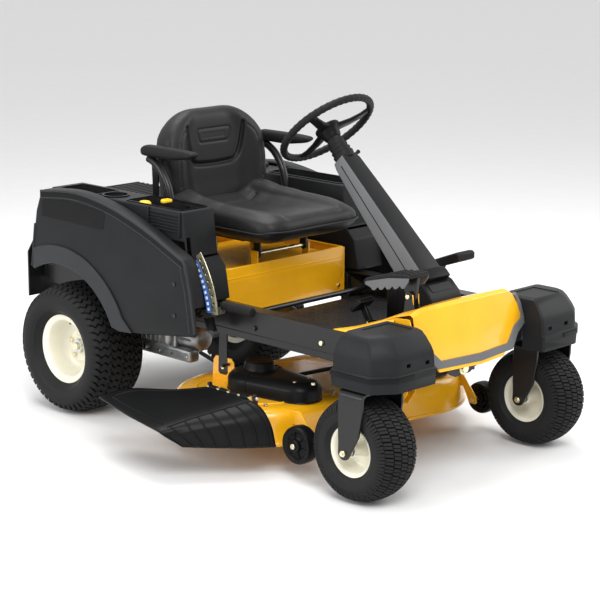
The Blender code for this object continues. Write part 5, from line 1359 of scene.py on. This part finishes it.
def belt_cover(side):
    """Domed moulding over the pulley, with rings on its crown and ribs down its flank."""
    x, y = SPINDLES[side]

    def shape(name, grow, low):
        rows = ((0.003, low), (0.0, low + 0.004 if grow == 0 else low), (0.0, 0.236), (-0.004, 0.244),
                (-0.014, 0.254),
                (-0.026, 0.260), (-0.044, 0.263), (-0.050, 0.2645), (-0.0535, 0.275), (-0.056, 0.2895),
                (-0.060, 0.2925))
        loops = []
        for lean, z in rows:
            ahead = [(x, y, 0.102 + lean - grow), (x, y - 0.190, 0.072 + lean * 0.85 - grow)]
            if z > 0.2635:
                ahead = [(x, y, 0.100 + lean - grow), (x, y - 0.012, 0.098 + lean - grow)]
            height = z if z <= low + 0.005 else z - grow
            loops.append([(a, b, height) for a, b in band(ahead, 0.0, 30)])
        return rings(name, loops, DARK, angle=40.0)

    cover = shape(f"{side}_cover_body", 0.0, 0.2004)
    belt = band([(*SPINDLES["right"], 0.062), (*SPINDLES["left"], 0.062), (0.0, -0.020, 0.062)], 0.0, 16)
    cut(cover, shape("cover_room", 0.003, 0.150), prism("belt_slot", belt, "Z", 0.10, 0.2485, DARK))
    parts = [cover]
    for k, r in enumerate((0.040, 0.031, 0.021)):
        ring = [(r - 0.0025, 0.2915), (r - 0.0018, 0.2930 - 0.0001 * k), (r + 0.0018, 0.2930 - 0.0001 * k),
                (r + 0.0025, 0.2915)]
        parts.append(turned(f"crown_ring_{k}", ring, "Z", (x, y, 0), DARK, 48))
    parts.append(turned("crown_cap", [(0, 0.290), (0.012, 0.290), (0.011, 0.2928), (0, 0.2929)], "Z",
                        (x, y, 0), DARK, 32))
    for k in range(7):
        t = math.radians(200 + 25 * k)
        path = []
        for reach, z in ((0.1035, 0.210), (0.1030, 0.236), (0.096, 0.2475), (0.084, 0.2565),
                         (0.066, 0.2625)):
            path.append((x + reach * math.cos(t), y + reach * math.sin(t), z))
        if not math.radians(225) < t < math.radians(315):
            parts.append(tube(f"flank_rib_{k}", smooth_line(path, 4), 0.0028, DARK, 8))
    for k, (dx, dy) in enumerate(((-0.060, -0.200), (0.060, -0.200), (0.0, -0.250))):
        t = 0.2004
        parts.append(hexagon(f"cover_bolt_{k}", (x + dx * 0.55, y + dy, 0), "Z", 0.012, 0.2560, 0.2640,
                             ZINC))
    put(merge(f"{side}_belt_cover_look", *parts), "deck", "black_plastic", f"{side}_belt_cover")


def scalp_wheel(side):
    """Spoked anti-scalp wheel of one side."""
    x, y, z, r = SCALP[side]
    half = [(0.0067, 0.0300), (0.0180, 0.0300), (0.0205, 0.0285), (0.0215, 0.0180), (0.0260, 0.0150),
            (r - 0.022, 0.0150),
            (r - 0.016, 0.0215), (r - 0.010, 0.0240), (r - 0.004, 0.0222), (r - 0.0008, 0.0160),
            (r, 0.0080)]
    profile = half + [(q, -a) for q, a in reversed(half)]
    wheel = turned(f"{side}_scalp_body", profile, "X", (x, y, z), DARK, 56, 45.0)
    parts = [wheel]
    for k in range(6):
        t = math.radians(60 * k + 15)
        start, end = 0.021, r - 0.014
        for n, sign in enumerate((-1, 1)):
            path = [(x + sign * 0.0165, y + q * math.cos(t), z + q * math.sin(t)) for q in (start, end)]
            parts.append(tube(f"web_{k}_{n}", path, 0.0028, DARK, 8))
    put(merge(f"{side}_scalp_look", *parts), f"{side}_scalp", "grip_rubber", f"{side}_anti_scalp_wheel")


def chute():
    """Ribbed deflector with a raised border, a deep front flange, hinge knuckles and bolts."""
    rows = [
        [(-0.478, -0.735, 0.2400), (-0.480, -0.840, 0.2400), (-0.482, -0.930, 0.2360),
         (-0.476, -0.985, 0.2150),
         (-0.470, -1.020, 0.1650), (-0.466, -1.035, 0.1020)],
        [(-0.540, -0.640, 0.2240), (-0.550, -0.780, 0.2240), (-0.560, -0.890, 0.2190),
         (-0.560, -0.950, 0.1960),
         (-0.552, -0.975, 0.1550), (-0.546, -0.982, 0.1040)],
        [(-0.605, -0.480, 0.2070), (-0.640, -0.690, 0.2040), (-0.660, -0.840, 0.1960),
         (-0.665, -0.885, 0.1720),
         (-0.650, -0.900, 0.1400), (-0.632, -0.905, 0.1060)],
        [(-0.696, -0.450, 0.1890), (-0.742, -0.640, 0.1800), (-0.765, -0.800, 0.1700),
         (-0.748, -0.835, 0.1500),
         (-0.722, -0.848, 0.1300), (-0.694, -0.850, 0.1100)],
    ]
    fine = grown(rows, 8)
    fine = [[(max(p[0], -0.7645), p[1], min(p[2], 0.2405)) for p in row] for row in fine]
    plate = sheet("chute_plate", fine, DARK, 0.0040, 50.0, (-0.3, -0.3, 1))
    parts = [plate]
    tall, wide = len(fine), len(fine[0])

    def along(u, first, last):
        """A line of points down the plate at a share u of the way out."""
        place = u * (tall - 1)
        i = min(int(place), tall - 2)
        part = place - i
        return [Vector(fine[i][k]).lerp(Vector(fine[i + 1][k]), part) for k in range(first, last)]

    for k in range(7):
        path = along(0.10 + 0.125 * k, int(wide * 0.42), wide)
        widths = [0.0008] + [0.0036] * (len(path) - 2) + [0.0030]
        parts.append(tube(f"chute_rib_{k}", path, widths, DARK, 10))
    edge = [Vector(fine[i][2]) for i in range(2, tall - 3)]
    edge += [Vector(fine[tall - 4][k]) for k in range(3, int(wide * 0.40))]
    parts.append(tube("chute_border", edge, 0.0030, DARK, 10))
    front = [Vector(fine[i][int(wide * 0.42)]) for i in range(1, tall - 3)]
    parts.append(tube("chute_fold", front, 0.0030, DARK, 10))
    hem = [Vector(p) for p in [row[-1] for row in fine]] + [Vector(fine[-1][k]) for k in range(wide - 2, -1,
                                                                                               -1)]
    hem = [Vector((max(p.x, -0.7610), p.y, p.z + 0.001)) for p in hem]
    parts.append(tube("chute_hem", hem, 0.0036, DARK, 10))
    parts.append(disc("chute_pin", 0.0045, -0.9300, -0.7350, "Y", (-0.478, 0, 0.240), ZINC, 20))
    for k in range(4):
        y0 = -0.920 + 0.048 * k
        parts.append(turned(f"knuckle_{k}",
                            [(0.0046, y0), (0.0085, y0), (0.0085, y0 + 0.030), (0.0046, y0 + 0.030)], "Y",
                            (-0.478, 0, 0.240), DARK, 24))
    put(merge("chute_look", *parts), "chute", "black_plastic", "discharge_chute")
    ends = [hexagon(f"hinge_bolt_{k}", (-0.4580, 0, 0.236), "Y", 0.011, y, y + 0.006, BRIGHT)
            for k, y in enumerate((-0.9420, -0.7200))]
    put(merge("chute_hinge_bolts", *ends), "deck", "zinc")


deck()
for side in SIDES:
    belt_cover(side)
    scalp_wheel(side)
chute()


# ---- frame, box, lift and drive details ----------------------------------------------------------------

def frame_details():
    """Bolts and flange lips on the rails, tread on the floor, seat box folds, cover bolts and drive ribs."""
    for side, s in SIDES.items():
        parts = []
        for k, (y, z) in enumerate(((-1.250, 0.436), (-1.130, 0.436), (-0.830, 0.430), (-0.560, 0.436),
                                    (-0.300, 0.436))):
            low, high = between(s, 0.3600, 0.3675)
            parts.append(hexagon(f"rail_bolt_{k}", (0, y, z), "X", 0.015, low, high,
                                 ZINC if k % 2 else STEEL))
            low, high = between(s, 0.3598, 0.3612)
            parts.append(disc(f"rail_washer_{k}", 0.0115, low, high, "X", (0, y, z), STEEL, 20))
        low, high = between(s, 0.3598, 0.3625)
        parts.append(box("rail_lip", (low, -1.365, 0.3862), (high, -0.205, 0.4085), STEEL, 0.0010, 1))
        put(merge(f"{side}_rail_details", *parts), "chassis", "black_steel")

    bumps, faces, k = [], [], 0
    for i in range(19):
        for j in range(14):
            x, y = -0.324 + 0.036 * i, -0.700 - 0.034 * j
            if abs(x) < 0.085 and y < -1.115 or y < -1.165:
                continue
            t = math.radians(45 if (i + j) % 2 else -45)
            a, b = Vector((math.cos(t), math.sin(t))), Vector((-math.sin(t), math.cos(t)))
            start = len(bumps)
            for grow, z in ((1.0, 0.4048), (0.72, 0.4064)):
                for p, q in ((-0.0125, 0), (0, -0.0035), (0.0125, 0), (0, 0.0035)):
                    spot = Vector((x, y)) + a * p * grow + b * q * grow
                    bumps.append((spot.x, spot.y, z))
            faces += [(start + n, start + (n + 1) % 4, start + 4 + (n + 1) % 4,
                       start + 4 + n) for n in range(4)]
            faces += [(start + 4, start + 5, start + 6, start + 7),
                      (start + 3, start + 2, start + 1, start)]
    put(solid("floor_tread", bumps, faces, PLASTIC, 20.0), "chassis", "black_plastic")

    rim = [(-0.278, -0.6170), (0.278, -0.6170), (0.278, -0.155), (-0.278, -0.155)]
    inner = [(-0.2705, -0.6105), (0.2705, -0.6105), (0.2705, -0.162), (-0.2705, -0.162)]
    loops = [[(x, y, z) for x, y in flat] for flat,
             z in ((rim, 0.5735), (rim, 0.5785), (inner, 0.5785), (inner, 0.5735))]
    parts = [bevel(rings("box_rim", loops, PAINT, closed=True), 0.0012, 1)]
    for s in (-1, 1):
        low, high = between(s, 0.2790, 0.2865)
        parts.append(box(f"box_fold_{s}", (low, -0.6175, 0.412), (high, -0.6040, 0.574), PAINT, 0.002, 2))
        parts.append(hexagon(f"box_bolt_{s}", (s * 0.262, 0, 0.440), "Y", 0.012, -0.6150, -0.6080, ZINC))
    parts.append(prism("box_crease",
                       [(-0.6175, 0.5455), (-0.6195, 0.5435), (-0.6195, 0.5415), (-0.6168, 0.5395)], "X",
                       -0.2790, 0.2790, PAINT))
    put(merge("seat_box_folds", *parts), "chassis", "yellow_paint")

    for side, s in SIDES.items():
        low, high = between(s, 0.1400, 0.2780)
        parts = [box("drive_body", (low, -0.320, 0.254), (high, 0.078, 0.3445), CAST, 0.022, 4)]
        pump = [(0, -0.438), (0.026, -0.438), (0.038, -0.430), (0.046, -0.412), (0.046, -0.330),
                (0, -0.330)]
        parts.append(turned("drive_pump", pump, "Y", (s * 0.215, 0, 0.2940), CAST, 40, 50.0))
        low, high = between(s, 0.1600, 0.2700)
        parts.append(box("pump_flange", (low, -0.345, 0.2530), (high, -0.318, 0.3360), CAST, 0.008, 3))
        low, high = between(s, 0.2270, 0.2755)
        parts.append(box("drive_sump", (low, -0.425, 0.2170), (high, -0.155, 0.2640), CAST, 0.012, 3))
        case = [(0, 0.176), (0.060, 0.176), (0.078, 0.184), (0.082, 0.200), (0.082, 0.240), (0.080, 0.254),
                (0.066, 0.262), (0.034, 0.266), (0.028, 0.282), (0.0135, 0.284)]
        parts.append(turned("gear_case",
                            [(r, s * x) for r, x in case] + [(0.0127, s * 0.284), (0.0127, s * 0.3970),
                            (0, s * 0.3970)], "X", (0, 0, REAR_R), CAST, 48, 40.0))
        for k in range(6):
            t = math.radians(60 * k)
            path = [(s * 0.215 + 0.0455 * math.cos(t), y, 0.2940 + 0.0455 * math.sin(t)) for y in (-0.412,
                                                                                                   -0.345)]
            parts.append(tube(f"pump_rib_{k}", path, 0.0040, CAST, 8))
        for k in range(9):
            y = -0.300 + 0.024 * k
            low, high = between(s, 0.1450, 0.2810)
            parts.append(box(f"fin_{k}", (low, y, 0.2700), (high, y + 0.005, 0.3340), CAST, 0.0010, 1))
        for k in range(10):
            t = math.radians(36 * k + 10)
            ends = between(s, 0.2560, 0.2660)
            spot = (0, 0.071 * math.cos(t), REAR_R + 0.071 * math.sin(t))
            parts.append(hexagon(f"case_bolt_{k}", spot, "X", 0.011, *ends, BRIGHT))
        for k in range(8):
            t = math.radians(45 * k)
            path = [(s * 0.2650, r * math.cos(t), REAR_R + r * math.sin(t)) for r in (0.030, 0.062)]
            parts.append(tube(f"case_rib_{k}", path, 0.0035, CAST, 8))
        for k, (y, z) in enumerate(((-0.410, 0.240), (-0.340, 0.238), (-0.270, 0.240), (-0.200, 0.238))):
            ends = between(s, 0.2745, 0.2830)
            parts.append(hexagon(f"sump_bolt_{k}", (0, y, z), "X", 0.012, *ends, BRIGHT))
        for k, (y, z) in enumerate(((-0.262, 0.312), (-0.150, 0.300))):
            ends = between(s, 0.2770, 0.2900)
            parts.append(disc(f"port_{k}", 0.014, ends[0], ends[1], "X", (0, y, z), BLOCK, 24))
        put(merge(f"{side}_transaxle_look", *parts), "chassis", "cast_metal", f"{side}_transaxle")


def lift_details():
    """Drilled quadrant, its marker strip and dots, a guard plate beside it and the lever's knurled grip."""
    centre = (-0.340, 0.415)
    outer, inner = arc(centre, 0.408, 142, 172, 24), arc(centre, 0.380, 172, 142, 24)
    plate = prism("quadrant_plate", outer + inner, "X", -0.4420, -0.4385, ZINC)
    holes = []
    for k in range(8):
        t = math.radians(145 + 3.6 * k)
        spot = (0, centre[0] + 0.394 * math.cos(t), centre[1] + 0.394 * math.sin(t))
        holes.append(disc(f"quadrant_hole_{k}", 0.0055, -0.46, -0.42, "X", spot, ZINC, 20))
    cut(plate, *holes)
    put(plate, "chassis", "zinc", "lift_quadrant")
    strip = prism("depth_strip", arc(centre, 0.3790, 144, 171, 24) + arc(centre, 0.3600, 171, 144, 24), "X",
                  -0.4448,
                  -0.4428, BLUE)
    put(strip, "chassis", "blue_strip")
    dots = []
    for k in range(9):
        t0 = 145.5 + 2.85 * k
        flat = arc(centre, 0.3745, t0, t0 + 1.5, 3) + arc(centre, 0.3655, t0 + 1.5, t0, 3)
        dots.append(prism(f"dot_{k}", flat, "X", -0.4455, -0.4446, WHITE))
    put(merge("depth_marks", *dots), "chassis", "white_strip")
    guard = [(-0.570, 0.645), (-0.598, 0.645), (-0.636, 0.606), (-0.668, 0.480), (-0.700, 0.405),
             (-0.665, 0.405),
             (-0.632, 0.490), (-0.606, 0.590)]
    put(prism("quadrant_guard", guard, "X", -0.4185, -0.4020, DARK, 0.002, 2), "chassis", "black_plastic")
    count = 120
    path = [(-0.397, -0.7225 - 0.137 * k / count, 0.493) for k in range(count + 1)]
    radii = [0.0148 + 0.0010 * math.sin(2 * math.pi * k / 6) for k in range(count + 1)]
    radii[0], radii[1], radii[-1], radii[-2], radii[-3] = 0.012, 0.014, 0.008, 0.0125, 0.0145
    grip = tube("lift_grip_look", path, radii, RUBBER, 24)
    put(grip, "lever", "grip_rubber", "lift_grip")


def engine_details():
    """Cooling fins, louvres, oil filter, muffler and rear guard."""
    parts = []
    for k, s in enumerate((-1, 1)):
        for n in range(9):
            y = 0.126 + 0.0190 * n
            low, high = between(s, 0.148, 0.2335)
            parts.append(box(f"fin_{k}_{n}", (low, y, 0.466), (high, y + 0.004, 0.5540), BLOCK, 0.0006, 1))
        low, high = between(s, 0.2290, 0.2350)
        parts.append(prism(f"valve_cover_{k}", rounded((0.140, 0.476), (0.270, 0.546), 0.012, 4), "X", low,
                           high, STEEL,
                           0.001, 1))
    filter_profile = [(0, 0.470), (0.036, 0.470), (0.038, 0.476), (0.038, 0.536), (0.034, 0.546),
                      (0, 0.548)]
    parts.append(turned("oil_filter", filter_profile, "Z", (0.0, 0.292, 0.0), STEEL, 32))
    can = [(0, -0.150), (0.030, -0.150), (0.036, -0.144), (0.036, 0.144), (0.030, 0.150), (0, 0.150)]
    parts.append(turned("muffler", can, "X", (0.0, 0.337, 0.600), BLOCK, 40))
    parts.append(tube("muffler_pipe",
                      smooth_line([(0.11, 0.337, 0.600), (0.150, 0.350, 0.585), (0.165, 0.385, 0.570),
                                                   (0.168, 0.412, 0.560)], 5), 0.012, BLOCK, 20))
    for k, x in enumerate((-0.10, 0.10)):
        parts.append(tube(f"muffler_strap_{k}",
                          [(x, 0.337 + 0.0368 * math.cos(t), 0.600 + 0.0368 * math.sin(t))
                                                 for t in [2 * math.pi * n / 40 for n in range(40)]],
                          0.0022, BRIGHT, 8,
                          True))
    put(merge("engine_details", *parts), "chassis", "cast_metal")
    louvres = [box(f"louvre_{k}", (-0.105, 0.030 + 0.026 * k, 0.7130), (0.105, 0.042 + 0.026 * k, 0.7185),
                   PLASTIC, 0.002,
                   1) for k in range(10)]
    louvres += [box(f"rear_louvre_{k}", (-0.130, 0.2985, 0.590 + 0.016 * k),
                    (0.130, 0.3030, 0.598 + 0.016 * k), PLASTIC,
                    0.0015, 1) for k in range(6)]
    put(merge("engine_cover_louvres", *louvres), "chassis", "black_plastic")
    guard = []
    for k, z in enumerate((0.640, 0.540)):
        y = 0.400
        path = [(-0.215, 0.372, z - 0.030), (-0.205, 0.388, z - 0.008), (-0.180, y, z), (0.180, y, z),
                (0.205, 0.388, z - 0.008), (0.215, 0.372, z - 0.030)]
        guard.append(tube(f"guard_bar_{k}", smooth_line(path, 5), 0.011, STEEL, 20))
    for k, x in enumerate((-0.215, 0.215)):
        guard.append(tube(f"guard_post_{k}", [(x, 0.382, 0.400), (x, 0.382, 0.630)], 0.010, STEEL, 16))
    guard += [hexagon(f"bumper_bolt_{k}", (x, 0, z), "Y", 0.015, 0.3800, 0.3870, ZINC)
              for k,
              (x, z) in enumerate(((-0.255, 0.420), (0.255, 0.420), (-0.255, 0.470), (0.255, 0.470)))]
    put(merge("rear_guard", *guard), "chassis", "black_steel")


frame_details()
lift_details()
engine_details()


# ---- CAD nodes that stay in view -----------------------------------------------------------------------

LOOKS = {"yellow_paint": PAINT, "black_plastic": PLASTIC, "grey_plastic": GREY, "black_steel": STEEL,
         "tyre": TYRE,
         "grip_rubber": RUBBER, "cream_paint": CREAM, "seat_vinyl": VINYL, "cast_metal": CAST, "zinc": ZINC,
         "yellow_plastic": KNOB}
for part in frame["record"]["subparts"]:
    node = frame["nodes"][part["node"]]
    node.data.materials.clear()
    node.data.materials.append(LOOKS[part["material_slot"]])


# ---- stage ---------------------------------------------------------------------------------------------

def build_stage():
    """White floor, bright surroundings and four soft lamps."""
    floor_look = surface("studio_floor", (0.86, 0.86, 0.86), 0.9, vary=0.01, grain=60, relief=0.01)
    half, sunk = 30.0, 0.0005
    floor = solid("studio_floor", [(-half, -half, 0), (half, -half, 0), (half, half, 0), (-half, half, 0)],
                  [(0, 1, 2, 3)], floor_look)
    floor.data.transform(Matrix.Translation((0, 0, -sunk)))

    world = bpy.data.worlds.new("studio")
    bpy.context.scene.world = world
    world.use_nodes = True
    world.node_tree.nodes["Background"].inputs["Color"].default_value = (1.0, 1.0, 1.0, 1.0)
    world.node_tree.nodes["Background"].inputs["Strength"].default_value = 0.80

    middle = Vector((0.0, -0.6, 0.4)) + SHIFT
    for name, place, width, power in (("key", (-2.2, -3.4, 3.6), 2.4, 120.0),
                                      ("fill", (3.6, -3.0, 2.6), 2.6, 60.0),
                                      ("top", (0.3, 0.2, 4.2), 3.0, 110.0),
                                      ("side", (-4.4, 1.0, 2.0), 2.2, 70.0)):
        data = bpy.data.lights.new(name, "AREA")
        data.shape = "DISK"
        data.size = width
        data.energy = power
        lamp = bpy.data.objects.new(name, data)
        lamp.location = Vector(place) + SHIFT
        lamp.rotation_euler = (middle - lamp.location).to_track_quat("-Z", "Y").to_euler()
        bpy.context.scene.collection.objects.link(lamp)


CAMERA_PLACE = Vector((-4.5653, -5.1640, 1.9313))
CAMERA_AZIMUTH, CAMERA_RISE, CAMERA_ROLL = -45.51, 13.12, 0.33
CAMERA_LENS, CAMERA_SENSOR = 115.99, 36.0


def build_camera():
    """Camera at the angle, height and distance of the photo."""
    azimuth, rise, roll = map(math.radians, (CAMERA_AZIMUTH, CAMERA_RISE, CAMERA_ROLL))
    back = Vector((math.sin(azimuth) * math.cos(rise), -math.cos(azimuth) * math.cos(rise), math.sin(rise)))
    right = Vector((math.cos(azimuth), math.sin(azimuth), 0.0))
    up = back.cross(right)
    turned_right = right * math.cos(roll) + up * math.sin(roll)
    turned_up = up * math.cos(roll) - right * math.sin(roll)
    data = bpy.data.cameras.new("camera")
    data.sensor_width = CAMERA_SENSOR
    data.lens = CAMERA_LENS
    data.clip_end = 100.0
    item = bpy.data.objects.new("camera", data)
    item.matrix_world = Matrix((turned_right, turned_up, back)).transposed().to_4x4()
    item.location = CAMERA_PLACE + SHIFT
    bpy.context.scene.collection.objects.link(item)
    bpy.context.scene.camera = item
    bpy.context.scene.view_settings.view_transform = "Standard"


build_stage()
build_camera()
